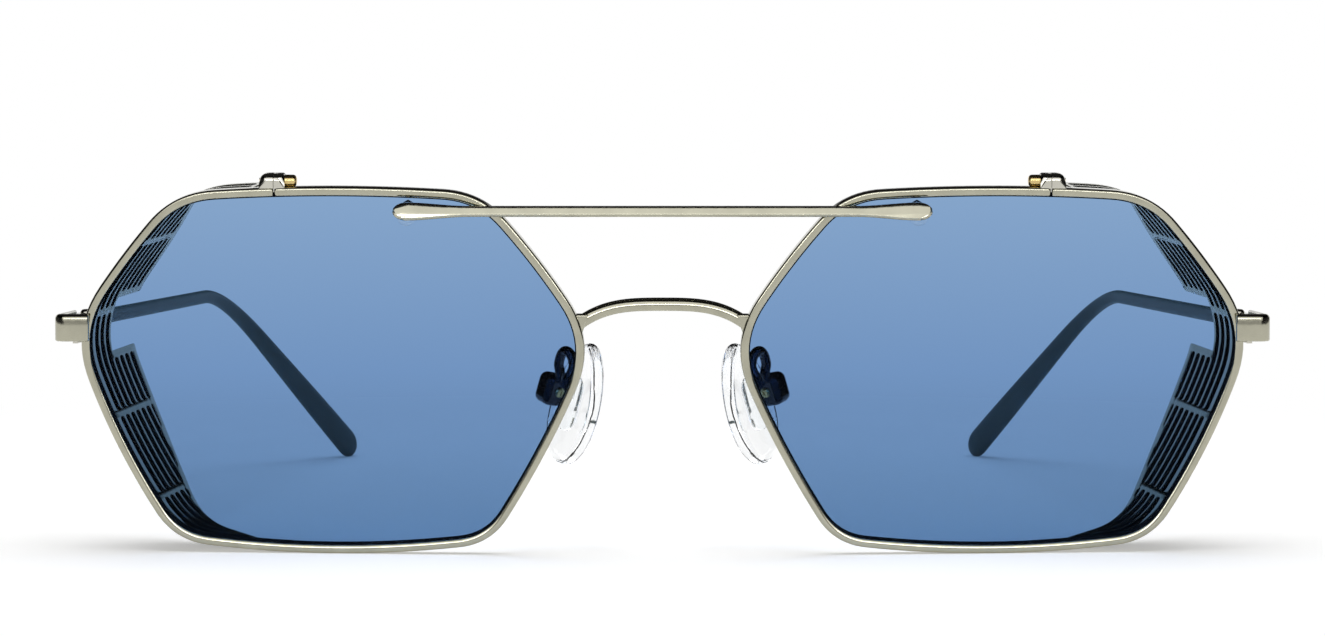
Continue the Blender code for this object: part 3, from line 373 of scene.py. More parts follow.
lens = lens_blank()
lens_start = min(vert.co.x for vert in lens.verts)
lens_width = max(vert.co.x for vert in lens.verts) - lens_start
strip_count = math.ceil(lens_width / LENS_STRIP)
for i in range(1, strip_count):
    cut_at(lens, lens_start + lens_width * i / strip_count, lens.faces[:])
thicken(lens, LENS_THICKNESS)
moved(lens, Matrix.Translation((0, 0, -lens_sink)))
wrap_and_stand(lens)
lens_low, lens_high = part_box("lens_left")
blue_tint = tinted_lens("blue_lens_tint", lens_low.z, lens_high.z)
both_sides("lens_sheet", lens, blue_tint, "lens_tint", "front", "lens", shadow=False)

# Painted shade: a thin black ring round the lens edge, where the rim's groove lies in shade.
groove_shade_ring = lens_blank()
lens_middle = groove_shade_ring.faces[:]
bmesh.ops.inset_region(groove_shade_ring, faces=lens_middle, thickness=LENS_SEAT + GROOVE_SHADE_SHOWING, use_boundary=True,
                       use_even_offset=True)
bmesh.ops.delete(groove_shade_ring, geom=lens_middle, context="FACES")
thicken(groove_shade_ring, LENS_THICKNESS + GROOVE_SHADE_LIP)
moved(groove_shade_ring, Matrix.Translation((0, 0, GROOVE_SHADE_LIP - lens_sink)))
wrap_and_stand(groove_shade_ring)
groove_shade_black = dull_black("painted_groove_shade", GROOVE_SHADE_BLACK, lift=2.0, gloss=(0.6, 0.8), scale=3000.0, detail=3.0)
both_sides("lens_painted_groove_shade", groove_shade_ring, groove_shade_black, "sleeve", "front")


# Rim locks
# Two small blocks are soldered on top of each rim, one on each side of its split. A gold-coloured screw
# with a slotted head draws them together, which closes the rim on the lens.

LOCK_FLOOR = 0.0160
LOCK_TOP = 0.01765
LOCK_DEPTH = 0.0020
LOCK_OUTER_END = -0.04495
LOCK_INNER_END = -0.04205
LOCK_OUTER_ROUND = 0.0009
LOCK_INNER_ROUND = 0.0004
LOCK_GAP = 0.00004
LOCK_SHOULDER = 0.0008
LOCK_EDGE = 0.00008
LOCK_HEAD_RADIUS = 0.00068
LOCK_HEAD_LENGTH = 0.0013
LOCK_SHANK_RADIUS = 0.0003
# Shares of a screw head's radius, and of its length for the slot's depth.
HEAD_ROUND = 0.6
HEAD_SLOT_HALF = 0.16
HEAD_SLOT_EDGE = 0.02
HEAD_SLOT_DEPTH = 0.4
SCREW_GOLD = (0.640, 0.480, 0.210)
BRIGHT_STEEL = (0.560, 0.545, 0.480)

bright_steel = plated_metal("bright_fittings", BRIGHT_STEEL, (0.10, 0.18))
gold_screw = plated_metal("gold_screws", SCREW_GOLD, (0.16, 0.28))


def box_body(low, high):
    """A closed box between two corners."""
    bm = bmesh.new()
    bmesh.ops.create_cube(bm, size=1.0)
    size = Vector(high) - Vector(low)
    middle = (Vector(high) + Vector(low)) / 2
    moved(bm, Matrix.LocRotScale(middle, None, size))
    return bm


def added(bm, other):
    """A second body put into a bmesh beside the first."""
    mesh = bpy.data.meshes.new("added")
    other.to_mesh(mesh)
    other.free()
    bm.from_mesh(mesh)
    bpy.data.meshes.remove(mesh)
    return bm


def sink(bm, face, way):
    """One face of a body pushed in along a way."""
    push(bm, [face], way)
    bmesh.ops.delete(bm, geom=[face], context="FACES_ONLY")


def flat_top(bm):
    """The faces of a screw head's flat top."""
    return [face for face in bm.faces if face.normal.z > 0.99 and face.calc_center_median().z > 0]


def rod(radius, low, high, segments, end_round=0.0):
    """A rod along Z between two heights, with its ends rounded by a share of its size."""
    bm = bmesh.new()
    bmesh.ops.create_cone(bm, cap_ends=True, segments=segments, radius1=radius, radius2=radius,
                          depth=high - low, matrix=Matrix.Translation((0, 0, (low + high) / 2)))
    if end_round:
        round_edges(bm, min(radius, high - low) * end_round, 2)
    return bm


def slotted_screw(head_radius, head_length, shank_radius, shank_length):
    """A screw along Z with its round, slotted head above z = 0 and its shank below."""
    bm = rod(head_radius, 0, head_length, 32)
    top_edges = [edge for edge in bm.edges if min(vert.co.z for vert in edge.verts) > head_length / 2]
    bevelled(bm, top_edges, head_radius * HEAD_ROUND, 6)
    slot_half = head_radius * HEAD_SLOT_HALF
    for side in (-slot_half, slot_half):
        cut_at(bm, side, flat_top(bm))
    strip = min(flat_top(bm), key=lambda face: abs(face.calc_center_median().x))
    bmesh.ops.inset_region(bm, faces=[strip], thickness=head_radius * HEAD_SLOT_EDGE, depth=0.0)
    sink(bm, strip, (0, 0, -head_length * HEAD_SLOT_DEPTH))
    return added(bm, rod(shank_radius, -shank_length, 0, 20))


def upper_front(edge):
    """True for the edges between a block's front and its top."""
    normals = [face.normal for face in edge.link_faces]
    return any(n.z > 0.9 for n in normals) and any(n.y > 0.05 for n in normals)


def round_upright(bm, x, y, radius, segments=8):
    """The edges of a body that run along Z at x and y rounded."""
    upright = [edge for edge in bm.edges
               if all(abs(vert.co.x - x) < 1e-6 and abs(vert.co.y - y) < 1e-6 for vert in edge.verts)]
    bevelled(bm, upright, radius, segments)


def lock_block(end, split, end_round):
    """One block of a rim lock from its end to the split, with a round on top of its end."""
    bm = box_body((min(end, split), LOCK_FLOOR, -(RIM_DEPTH + LOCK_DEPTH) / 2),
                  (max(end, split), LOCK_TOP, -(RIM_DEPTH - LOCK_DEPTH) / 2))
    round_upright(bm, end, LOCK_TOP, end_round)
    bm.normal_update()
    round_edges(bm, LOCK_SHOULDER, 6, chosen=upper_front, clamp=False)
    round_edges(bm, LOCK_EDGE)
    wrap_and_stand(bm)
    return bm


lock_outer = lock_block(LOCK_OUTER_END, SPLIT_X - LOCK_GAP / 2, LOCK_OUTER_ROUND)
both_sides("lock_block_outer", lock_outer, bright_steel, "fitting_metal", "front", "closing_block_outer")
lock_inner = lock_block(LOCK_INNER_END, SPLIT_X + LOCK_GAP / 2, LOCK_INNER_ROUND)
both_sides("lock_block_inner", lock_inner, bright_steel, "fitting_metal", "front", "closing_block_inner")

lock_screw = slotted_screw(LOCK_HEAD_RADIUS, LOCK_HEAD_LENGTH, LOCK_SHANK_RADIUS,
                           LOCK_INNER_END - LOCK_OUTER_END)
lock_screw_place = Matrix.Translation((LOCK_INNER_END, (LOCK_FLOOR + LOCK_TOP) / 2, -RIM_DEPTH / 2))
moved(lock_screw, lock_screw_place @ Matrix.Rotation(math.pi / 2, 4, "Y"))
wrap_and_stand(lock_screw)
both_sides("lock_screw", lock_screw, gold_screw, "gold_screw", "front", "closing_screw")


# Brow bar
# A straight champagne bar crosses in front of both rims and flares to a bevelled paddle at each end. A
# stud behind each paddle goes through a clear washer and the lens, and a small nut holds it at the back.

BROW_LEVEL = 0.0137
BROW_HALF_LENGTH = 0.0299
BROW_THICKNESS = 0.0010
BROW_MIDDLE_HEIGHT = 0.00117
BROW_PADDLE_HEIGHT = 0.00195
BROW_PADDLE_LENGTH = 0.0085
BROW_FRONT = 0.00066
BROW_BEVEL = 0.00030
BROW_BEVEL_REACH = 0.0003
BROW_EDGE = 0.0001
BROW_STEPS = 24
BROW_CROWDING = 2.2
BROW_FACE_TILT = math.radians(18.0)
STUD_FROM_TIP = 0.0015
STUD_RADIUS = 0.0004
END_ROUND = 0.15
WASHER_RADIUS = 0.00115
WASHER_FRONT = -0.00036
WASHER_BACK = -0.00117
WASHER_DROP = 0.0005
NUT_RADIUS = 0.0010
NUT_FRONT = -0.0029
NUT_BACK = -0.0036
CLEAR_PLASTIC = (0.93, 0.95, 0.96)
WASHER_REFRACTION = 1.46


def eased(t):
    """A share from 0 to 1 that starts and ends gently."""
    t = min(1.0, max(0.0, t))
    return t * t * (3 - 2 * t)


def clear_plastic(name, colour, refraction, grain):
    """A clear moulded plastic with faint waves in its skin."""
    made, tree, shader = new_finish(name)
    waves = pattern(tree, scale=700.0, stretch=(1.0, 1.0, 0.6), detail=2.0)
    clouded(tree, shader, waves, colour, toned(colour, 1.03))
    skin(tree, shader, waves, gloss=(0.01, 0.05), depth=grain)
    feed(tree, shader, {"Transmission Weight": 1.0, "IOR": refraction})
    return made


brow_top = []
for i in range(BROW_STEPS + 1):
    from_tip = BROW_HALF_LENGTH * (i / BROW_STEPS) ** BROW_CROWDING
    flare = eased((BROW_PADDLE_LENGTH - from_tip) / (BROW_PADDLE_LENGTH - STUD_FROM_TIP))
    half_height = (BROW_MIDDLE_HEIGHT + (BROW_PADDLE_HEIGHT - BROW_MIDDLE_HEIGHT) * flare) / 2
    inside = min(1.0, from_tip / STUD_FROM_TIP)
    half_height *= math.sqrt(1 - (1 - inside) ** 2)
    brow_top.append((from_tip - BROW_HALF_LENGTH, half_height))
brow_line = brow_top + [(-x, y) for x, y in reversed(brow_top[:-1])]
brow_line += [(x, -y) for x, y in reversed(brow_line[1:-1])]
brow = flat_face([(x, BROW_LEVEL + y, BROW_FRONT) for x, y in brow_line])
thicken(brow, BROW_THICKNESS)
for vert in brow.verts:
    if vert.co.z > 0:
        vert.co.z -= math.tan(BROW_FACE_TILT) * (vert.co.y - BROW_LEVEL + BROW_MIDDLE_HEIGHT / 2)


def lower_front(edge):
    """True for the brow bar's front edges below its top one."""
    return all(vert.co.z > 0 and vert.co.y < BROW_LEVEL + BROW_BEVEL_REACH for vert in edge.verts)


round_edges(brow, BROW_BEVEL, 1, chosen=lower_front, clamp=False)
round_edges(brow, BROW_EDGE, 2)
stud_x = STUD_FROM_TIP - BROW_HALF_LENGTH
for x in (stud_x, -stud_x):
    stud = rod(STUD_RADIUS, NUT_BACK, BROW_FRONT - BROW_THICKNESS / 2, 24, END_ROUND)
    moved(stud, Matrix.Translation((x, BROW_LEVEL, 0)))
    added(brow, stud)
moved(brow, stand_up)
piece("brow_bar_plate", finished(brow), champagne, "rim_metal", "front", "brow_bar")

clear = clear_plastic("clear_plastic", CLEAR_PLASTIC, WASHER_REFRACTION, grain=0.00001)
washer = rod(WASHER_RADIUS, WASHER_BACK, WASHER_FRONT, 40, END_ROUND)
moved(washer, stand_up @ Matrix.Translation((stud_x, BROW_LEVEL - WASHER_DROP, 0)))
both_sides("brow_clear_washer", washer, clear, "clear_plastic", "front", "brow_washer", shadow=False)
nut = rod(NUT_RADIUS, NUT_BACK, NUT_FRONT, 6, END_ROUND)
moved(nut, stand_up @ Matrix.Translation((stud_x, BROW_LEVEL, 0)))
both_sides("brow_hex_nut", nut, bright_steel, "fitting_metal", "front", "brow_nut")


# Lower bridge
# A flat-topped arch of the same plated wire joins the rims below the brow bar. Each end is soldered to a
# small wedge-shaped foot on the side of its rim.

BRIDGE_CROWN = 0.0032
BRIDGE_DROP = 0.0020
BRIDGE_POWER = 3.2
BRIDGE_HALF = 0.0091
BRIDGE_HEIGHT = 0.0014
BRIDGE_DEPTH = 0.0013
BRIDGE_EDGE = 0.00006
BRIDGE_STEPS = 48
BRIDGE_SHAPE = (
    (0.50, -0.30), (0.50, 0.01), (0.42, 0.26), (0.22, 0.43), (-0.02, 0.50), (-0.40, 0.50), (-0.50, 0.38),
    (-0.50, -0.30), (-0.30, -0.50), (0.30, -0.50),
)
FOOT_LOW = Vector((-0.0097, -0.0002, -0.0018))
FOOT_HIGH = Vector((-0.0082, 0.0021, -0.0004))
FOOT_POINT = 0.0007
FOOT_ROUND = 0.00018


def drawn(section, stations):
    """A closed body: a flat section drawn through stations, each a matrix that places it."""
    bm = flat_face([stations[0] @ Vector((x, y, 0)) for x, y in section])
    edges = bm.edges[:]
    for station, following in zip(stations, stations[1:]):
        made = bmesh.ops.extrude_edge_only(bm, edges=edges)
        pushed = {item for item in made["geom"] if isinstance(item, bmesh.types.BMVert)}
        bmesh.ops.transform(bm, matrix=following @ station.inverted(), verts=list(pushed))
        edges = [item for item in made["geom"]
                 if isinstance(item, bmesh.types.BMEdge) and pushed.issuperset(item.verts)]
    bmesh.ops.edgeloop_fill(bm, edges=edges)
    bmesh.ops.recalc_face_normals(bm, faces=bm.faces)
    return bm


def station_at(place, way, up, width=1.0, height=1.0):
    """A matrix that sets a section square to a way, scaled by a width and a height."""
    side = way.cross(up).normalized()
    rise = side.cross(way).normalized()
    turn = Matrix((side, rise, -way.normalized())).transposed().to_4x4()
    return Matrix.Translation(place) @ turn @ Matrix.Diagonal((width, height, 1.0, 1.0))


def along(path):
    """The points of a path, each with the way that the path takes there."""
    last = len(path) - 1
    return [(place, path[min(i + 1, last)] - path[max(i - 1, 0)]) for i, place in enumerate(path)]


def bridge_point(x):
    """The middle of the bridge wire at x."""
    drop = BRIDGE_DROP * abs(x / BRIDGE_HALF) ** BRIDGE_POWER
    return Vector((x, BRIDGE_CROWN - drop, -RIM_DEPTH / 2))


bridge_turns = [(i / BRIDGE_STEPS - 0.5) * math.pi for i in range(BRIDGE_STEPS + 1)]
bridge_path = [bridge_point(BRIDGE_HALF * math.sin(turn)) for turn in bridge_turns]
bridge_stations = [station_at(place, way, Vector((0, 0, 1))) for place, way in along(bridge_path)]
bridge_section = [(-rise * BRIDGE_HEIGHT, depth * BRIDGE_DEPTH) for rise, depth in BRIDGE_SHAPE]
bridge = drawn(bridge_section, bridge_stations)
round_edges(bridge, BRIDGE_EDGE, 2, math.radians(30))
for mirrored in (Matrix.Identity(4), MIRROR_X):
    foot = box_body(FOOT_LOW, FOOT_HIGH)
    for vert in foot.verts:
        if vert.co.y < (FOOT_LOW.y + FOOT_HIGH.y) / 2 and vert.co.x > (FOOT_LOW.x + FOOT_HIGH.x) / 2:
            vert.co.x = FOOT_LOW.x + FOOT_POINT
    round_edges(foot, FOOT_ROUND)
    moved(foot, mirrored)
    added(bridge, foot)
moved(bridge, stand_up)
piece("bridge_arch", finished(bridge), champagne, "rim_metal", "front", "lower_bridge")


# Side shields
# A thin plated sheet carries each rim's outline back to the side of the face, with rows of narrow slots
# between cross bars and a notch where the temple passes. Black enamel fills the slots flush from inside.

SHEET = 0.00024
SHEET_EDGE = 0.00003
SHEET_MERGE = 0.00002
SHIELD_INSET = 0.0004
SHIELD_GAP = 0.0001
SHIELD_SLOPE = 0.233
SLOT_COUNT = 7
SLOT_WIDTH = 0.0010
SLOT_BAR = 0.0005
SLOT_BASE = 0.0018
SLOT_ROUND = 0.0004
SLOT_ROUND_SHARE = 0.4
SLOT_ROUND_STEPS = (0.0, 0.00006, 0.00016, 0.0004)
SHIELD_BORDER = 0.0010
SHIELD_TOP_START = 0.0024
SHIELD_TOP_SLOTS = 2
SHIELD_TOP_EASE = 0.0135
SHIELD_RISE = 0.065
SHIELD_RISE_FROM = 0.0120
SHIELD_RISE_OVER = 0.0030
SHIELD_BOTTOM_X = -0.0425
SHIELD_BOTTOM_DEPTH = 0.0022
SHIELD_BOTTOM_EASE = 0.0285
SHIELD_FULL = (0.0055, -0.0055)
CROSSBAR_LEVELS = (0.0093, -0.0104, -0.0197)
NOTCH_BAR_LEVEL = 0.0012
CROSSBAR_WIDTH = 0.00075
FLAP_BAR = 0.0008
NOTCH = (0.00245, -0.0038)
NOTCH_SLOTS = 3
FLAP_ROUND = 0.0006
COLUMN = 0.0009
COLUMN_LEAST = 0.00003
ENAMEL = 0.00022
ENAMEL_BLACK = (0.004, 0.005, 0.006)


def shield_line():
    """The line that the shield follows behind the rim, from the split outwards and round."""
    bm, ring = inset_hexagon(SHIELD_INSET)
    face = next(face for face in bm.faces if face not in ring)
    around = [vert.co.copy() for vert in reversed(face.verts)]
    bm.free()
    first = min(range(len(around)), key=lambda i: (around[i].y < 0, abs(around[i].x - SPLIT_X)))
    return around[first:] + around[:first]


line_points = shield_line()
line_lengths = [0.0]
for before, after in zip(line_points, line_points[1:]):
    line_lengths.append(line_lengths[-1] + (after - before).length)


def line_point(s):
    """The point of the shield's line at a length from the split."""
    i = next(i for i, length in enumerate(line_lengths) if i and length >= s)
    share = (s - line_lengths[i - 1]) / (line_lengths[i] - line_lengths[i - 1])
    return line_points[i - 1].lerp(line_points[i], share)


def length_at(level):
    """The length at which the shield's line comes down to a level."""
    i = next(i for i, point in enumerate(line_points) if point.y <= level)
    above, below = line_points[i - 1], line_points[i]
    share = (above.y - level) / (above.y - below.y)
    return line_lengths[i - 1] + share * (line_lengths[i] - line_lengths[i - 1])


def bar_at(level):
    """The span of a cross bar at a level."""
    return length_at(level) - CROSSBAR_WIDTH / 2, length_at(level) + CROSSBAR_WIDTH / 2


slot_pitch = SLOT_WIDTH + SLOT_BAR
slot_starts = [SLOT_BASE + slot * slot_pitch for slot in range(SLOT_COUNT)]
full_depth = SLOT_BASE + SLOT_COUNT * slot_pitch - SLOT_BAR + SHIELD_BORDER
top_depth = SLOT_BASE + SHIELD_TOP_SLOTS * slot_pitch - SLOT_BAR + SHIELD_BORDER
full_from, full_to = map(length_at, SHIELD_FULL)
notch_from, notch_to = map(length_at, NOTCH)
shield_end = next(length for length, point in zip(line_lengths, line_points)
                  if point.y < NOTCH[1] and point.x > SHIELD_BOTTOM_X)
flap_bars = ((notch_from - FLAP_BAR, notch_from), (notch_to, notch_to + FLAP_BAR))
end_bars = ((SHIELD_TOP_START, SHIELD_TOP_START + FLAP_BAR), (shield_end - FLAP_BAR, shield_end))
cross_bars = tuple(map(bar_at, CROSSBAR_LEVELS))
notch_bar = bar_at(NOTCH_BAR_LEVEL)
enamel_notch = (notch_from - FLAP_BAR / 2, notch_to + FLAP_BAR / 2)
enamel_ends = (SHIELD_TOP_START + FLAP_BAR / 2, shield_end - FLAP_BAR / 2)


def rear_depth(s):
    """How far the shield reaches behind the rim: most at the hinge, less at both ends."""
    up = min(1.0, max(0.0, full_from - s) / SHIELD_TOP_EASE)
    down = min(1.0, max(0.0, s - full_to) / SHIELD_BOTTOM_EASE)
    return full_depth - (full_depth - top_depth) * up ** 2 - (full_depth - SHIELD_BOTTOM_DEPTH) * down ** 2


def slot_ends(start):
    """The lengths at which the falling rear edge closes a slot."""
    fall = full_depth - SHIELD_BORDER - start
    up = math.sqrt(fall / (full_depth - top_depth))
    down = math.sqrt(fall / (full_depth - SHIELD_BOTTOM_DEPTH))
    return [full_from - min(1.0, up) * SHIELD_TOP_EASE, full_to + min(1.0, down) * SHIELD_BOTTOM_EASE]


def shield_columns():
    """The lengths of the sheet's columns: bar edges, slot ends, and steps between them."""
    marks = {*enamel_notch, *enamel_ends, end_bars[0][0], end_bars[1][1], notch_from, notch_to}
    for low, high in (*cross_bars, notch_bar, *flap_bars, *end_bars):
        marks.update(edge for step in SLOT_ROUND_STEPS for edge in (low - step, high + step))
    for start in slot_starts:
        marks.update(slot_ends(start))
    columns = []
    for mark in sorted(mark for mark in marks if end_bars[0][0] <= mark <= end_bars[1][1]):
        if columns and mark - columns[-1] < COLUMN_LEAST:
            continue
        if columns:
            before = columns[-1]
            steps = math.ceil((mark - before) / COLUMN)
            columns += [before + (mark - before) * i / steps for i in range(1, steps)]
        columns.append(mark)
    return columns


def within(s, spans):
    """True where a length lies inside one of the spans."""
    return any(low < s < high for low, high in spans)


def shield_sheet(enamel):
    """The sheet with its slots, or the enamel that fills them, as a grid bent into place."""
    columns = shield_columns()
    lines = [0.0]
    for start in slot_starts:
        lines += [start, start + SLOT_WIDTH]
    lines.append(full_depth)
    across, rows = len(columns) - 1, len(lines) - 1
    notch_line = 2 * NOTCH_SLOTS + 1

    def is_open(column, line):
        """True where the sheet is cut away after a column and a line."""
        if not (0 <= column < across and 0 <= line < rows):
            return False
        s = (columns[column] + columns[column + 1]) / 2
        if enamel:
            return (line >= notch_line - 1 and within(s, [enamel_notch])) or not within(s, [enamel_ends])
        if line >= notch_line and notch_from < s < notch_to:
            return True
        if line % 2 == 0 or within(s, cross_bars) or within(s, end_bars):
            return False
        return not within(s, flap_bars if line >= notch_line else [notch_bar])

    def end_rounding(column, line):
        """How far a slot's edge draws in near the slot's end."""
        slot = line if line % 2 else line - 1
        if slot >= notch_line and notch_from <= columns[column] <= notch_to:
            return 0.0
        low = high = column
        while is_open(low - 1, slot):
            low -= 1
        while is_open(high, slot):
            high += 1
        if low == high:
            return 0.0
        near = min(SLOT_ROUND, columns[column] - columns[low], columns[high] - columns[column])
        return SLOT_ROUND - math.sqrt(SLOT_ROUND ** 2 - (SLOT_ROUND - near) ** 2)

    bm = bmesh.new()
    bmesh.ops.create_grid(bm, x_segments=across, y_segments=rows, size=1.0)
    spots = {vert: (round((vert.co.x + 1) / 2 * across), round((vert.co.y + 1) / 2 * rows))
             for vert in bm.verts}
    cut_away = [face for face in bm.faces if is_open(*min(spots[vert] for vert in face.verts))]
    for vert, (column, line) in spots.items():
        s = columns[column]
        rear = rear_depth(s)
        inner_limit = rear - SHIELD_BORDER
        if line == rows:
            depth = rear - SHIELD_BORDER / 2 if enamel else rear
        elif line == 0:
            depth = SLOT_BASE / 2 if enamel else 0.0
        else:
            depth = min(lines[line], inner_limit)
            slot_low = min(lines[line if line % 2 else line - 1], inner_limit)
            slot_high = min(slot_low + SLOT_WIDTH, inner_limit)
            if not enamel:
                draw_in = min(end_rounding(column, line), (slot_high - slot_low) * SLOT_ROUND_SHARE)
                depth += draw_in if line % 2 else -draw_in
            elif line == notch_line - 1 and within(s, [enamel_notch]):
                depth += SLOT_BAR / 2
        base = line_point(s)
        back = -RIM_DEPTH - SHIELD_GAP - base.x ** 2 / (2 * FACE_RADIUS) - depth
        rise = SHIELD_RISE * depth * eased((base.y - SHIELD_RISE_FROM) / SHIELD_RISE_OVER)
        vert.co = (base.x + SHIELD_SLOPE * depth, base.y + rise, back)
    bmesh.ops.delete(bm, geom=cut_away, context="FACES")
    bmesh.ops.remove_doubles(bm, verts=bm.verts, dist=SHEET_MERGE)
    bmesh.ops.dissolve_degenerate(bm, edges=bm.edges, dist=SHEET_MERGE)
    free_corners = [vert for vert in bm.verts if len(vert.link_faces) == 1]
    if not enamel:
        bevelled(bm, free_corners, FLAP_ROUND, 5, clamp=True, affect="VERTICES")
    moved(bm, stand_up)
    return bm


def walled(obj, thickness):
    """Thickness about the middle of a sheet, with its edges softened."""
    wall = obj.modifiers.new("wall", "SOLIDIFY")
    wall.thickness = thickness
    wall.offset = 0.0
    wall.use_even_offset = True
    soft = obj.modifiers.new("edge", "BEVEL")
    soft.width = SHEET_EDGE
    soft.segments = 2
    soft.limit_method = "ANGLE"
    soft.angle_limit = math.radians(50)


grille = shield_sheet(False)
for shield in both_sides("shield_grille", grille, champagne, "rim_metal", "front", "side_shield"):
    walled(shield, SHEET)
slot_fill = shield_sheet(True)
slot_black = dull_black("black_enamel", ENAMEL_BLACK, lift=2.2, gloss=(0.35, 0.5), scale=1500.0, detail=2.0)
for panel in both_sides("shield_enamel", slot_fill, slot_black, "rim_metal", "front"):
    walled(panel, ENAMEL)


# End pieces and hinges
# A plated strip laps over the front of each rim, bends round its side and runs back to the hinge. The
# hinge is three knuckles on a screw: two on the front's leaf and one on the temple's between them.

STRIP_OUTER = -0.06845
STRIP_INNER = -0.06765
STRIP_LIP = -0.06449
STRIP_FRONT = 0.00354
STRIP_END = 0.0145
STRIP_HEIGHT = 0.0031
STRIP_LIFT = 0.0005
STRIP_BEND = 0.0015
STRIP_SHOULDER = 0.00055
STRIP_EDGE = 0.0002
HINGE_HEAD_RADIUS = 0.0008
HINGE_HEAD_HEIGHT = 0.0004
HINGE_SCREW_RADIUS = 0.0004
HINGE_HALF = 0.00165
HINGE_HEAD_GAP = 0.0001

strip_back = STRIP_FRONT + STRIP_INNER - STRIP_OUTER
strip_plan = (
    (STRIP_LIP, STRIP_FRONT), (STRIP_OUTER, STRIP_FRONT), (STRIP_OUTER, STRIP_END),
    (STRIP_INNER, STRIP_END), (STRIP_INNER, strip_back), (STRIP_LIP, strip_back),
)
end_piece = flat_face([(x, y, STRIP_LIFT + STRIP_HEIGHT / 2) for x, y in strip_plan])
thicken(end_piece, STRIP_HEIGHT)
round_upright(end_piece, STRIP_OUTER, STRIP_FRONT, STRIP_BEND, 10)
round_upright(end_piece, STRIP_INNER, strip_back, STRIP_BEND - strip_back + STRIP_FRONT, 10)


def upper_outside(edge):
    """True for the edges between the strip's top and its front or outer side."""
    normals = [face.normal for face in edge.link_faces]
    return any(n.z > 0.9 for n in normals) and any(min(n.x, n.y) < -0.1 for n in normals)


end_piece.normal_update()
round_edges(end_piece, STRIP_SHOULDER, 5, chosen=upper_outside)
round_edges(end_piece, STRIP_EDGE)
moved(end_piece, front_place)
both_sides("end_strip", end_piece, champagne, "rim_metal", "front", "end_piece")

hinge_screw = slotted_screw(HINGE_HEAD_RADIUS, HINGE_HEAD_HEIGHT, HINGE_SCREW_RADIUS, 2 * HINGE_HALF)
moved(hinge_screw, Matrix.Translation(left_hinge + Vector((0, 0, HINGE_HALF + HINGE_HEAD_GAP))))
both_sides("hinge_pin_screw", hinge_screw, bright_steel, "fitting_metal", "front", "hinge_screw")
for side in ("left", "right"):
    for knuckle in ("front_hinge", "temple_hinge"):
        frame["nodes"][f"{knuckle}_{side}"].material_slots[0].material = bright_steel


# Temples
# Each temple starts as a flat metal strip with a slate lacquer that tapers from below. A satin slate
# sleeve is pushed over its core, runs back, bends down and in behind the ear, and ends in a round paddle.

TEMPLE_TOE_IN = math.radians(4.0)
ARM_X = -0.00155
ARM_THICKNESS = 0.0008
ARM_EDGE = 0.00018
ARM_STEPS = ((0.0001, 0.0031), (0.0036, 0.0031), (0.0076, 0.00225), (0.0116, 0.0014), (0.0149, 0.0014))
SLEEVE_START = 0.0150
SLEEVE_HEIGHT = 0.0018
SLEEVE_WIDTH = 0.0017
SLEEVE_POINTS = 32
SLEEVE_STEPS = 10
EAR_BEND_AT = 0.0850
EAR_BEND_CUT = 0.0120
EAR_BEND_STEPS = 16
TIP_LENGTH = 0.0427
TIP_DROP = math.radians(35.8)
TIP_TOE_IN = math.radians(22.9)
PADDLE_HEIGHT = 0.0040
PADDLE_WIDTH = 0.0021
PADDLE_LENGTH = 0.0500
TIP_STEPS = 16
TIP_ROUND = 0.0027
TIP_ROUND_STEPS = 12
TIP_FLAT = 0.00002
SLATE_DARK = (0.083, 0.112, 0.106)
SLATE_LIGHT = (0.105, 0.138, 0.130)

temple_place = Matrix.Translation(left_hinge) @ Matrix.Rotation(-TEMPLE_TOE_IN, 4, "Z")


def slate_satin(name, gloss):
    """Satin slate with a faint cloud in its colour and a fine matte grain."""
    made, tree, shader = new_finish(name)
    clouded(tree, shader, pattern(tree, scale=260.0), SLATE_DARK, SLATE_LIGHT)
    skin(tree, shader, pattern(tree, scale=9000.0, detail=4.0), gloss, depth=0.000012)
    feed(tree, shader, {"Specular IOR Level": 0.2})
    return made


def circle(count):
    """Points round a circle of diameter 1."""
    angles = [2 * math.pi * i / count for i in range(count)]
    return [(math.cos(angle) / 2, math.sin(angle) / 2) for angle in angles]


upwards = Vector((0, 0, 1))
backwards = Vector((0, 1, 0))
arm_stations = []
for y, height in ARM_STEPS:
    level = (STRIP_HEIGHT - max(height, SLEEVE_HEIGHT)) / 2
    arm_stations.append(station_at(Vector((ARM_X, y, level)), backwards, upwards, ARM_THICKNESS, height))
arm = drawn([(-0.5, -0.5), (0.5, -0.5), (0.5, 0.5), (-0.5, 0.5)], arm_stations)
round_edges(arm, ARM_EDGE)
moved(arm, temple_place)
slate_lacquer = slate_satin("slate_lacquer", (0.28, 0.38))
both_sides("temple_strip", arm, slate_lacquer, "sleeve", "temple_{side}", "temple_arm")

sleeve_level = (STRIP_HEIGHT - SLEEVE_HEIGHT) / 2
sleeve_start = Vector((ARM_X, SLEEVE_START, sleeve_level))
ear_corner = Vector((ARM_X, EAR_BEND_AT, sleeve_level))
fall = Vector((math.cos(TIP_DROP) * math.sin(TIP_TOE_IN), math.cos(TIP_DROP) * math.cos(TIP_TOE_IN),
               -math.sin(TIP_DROP)))
bend_in = ear_corner - backwards * EAR_BEND_CUT
bend_out = ear_corner + fall * EAR_BEND_CUT
tip_end = ear_corner + fall * TIP_LENGTH
round_start = tip_end - fall * TIP_ROUND


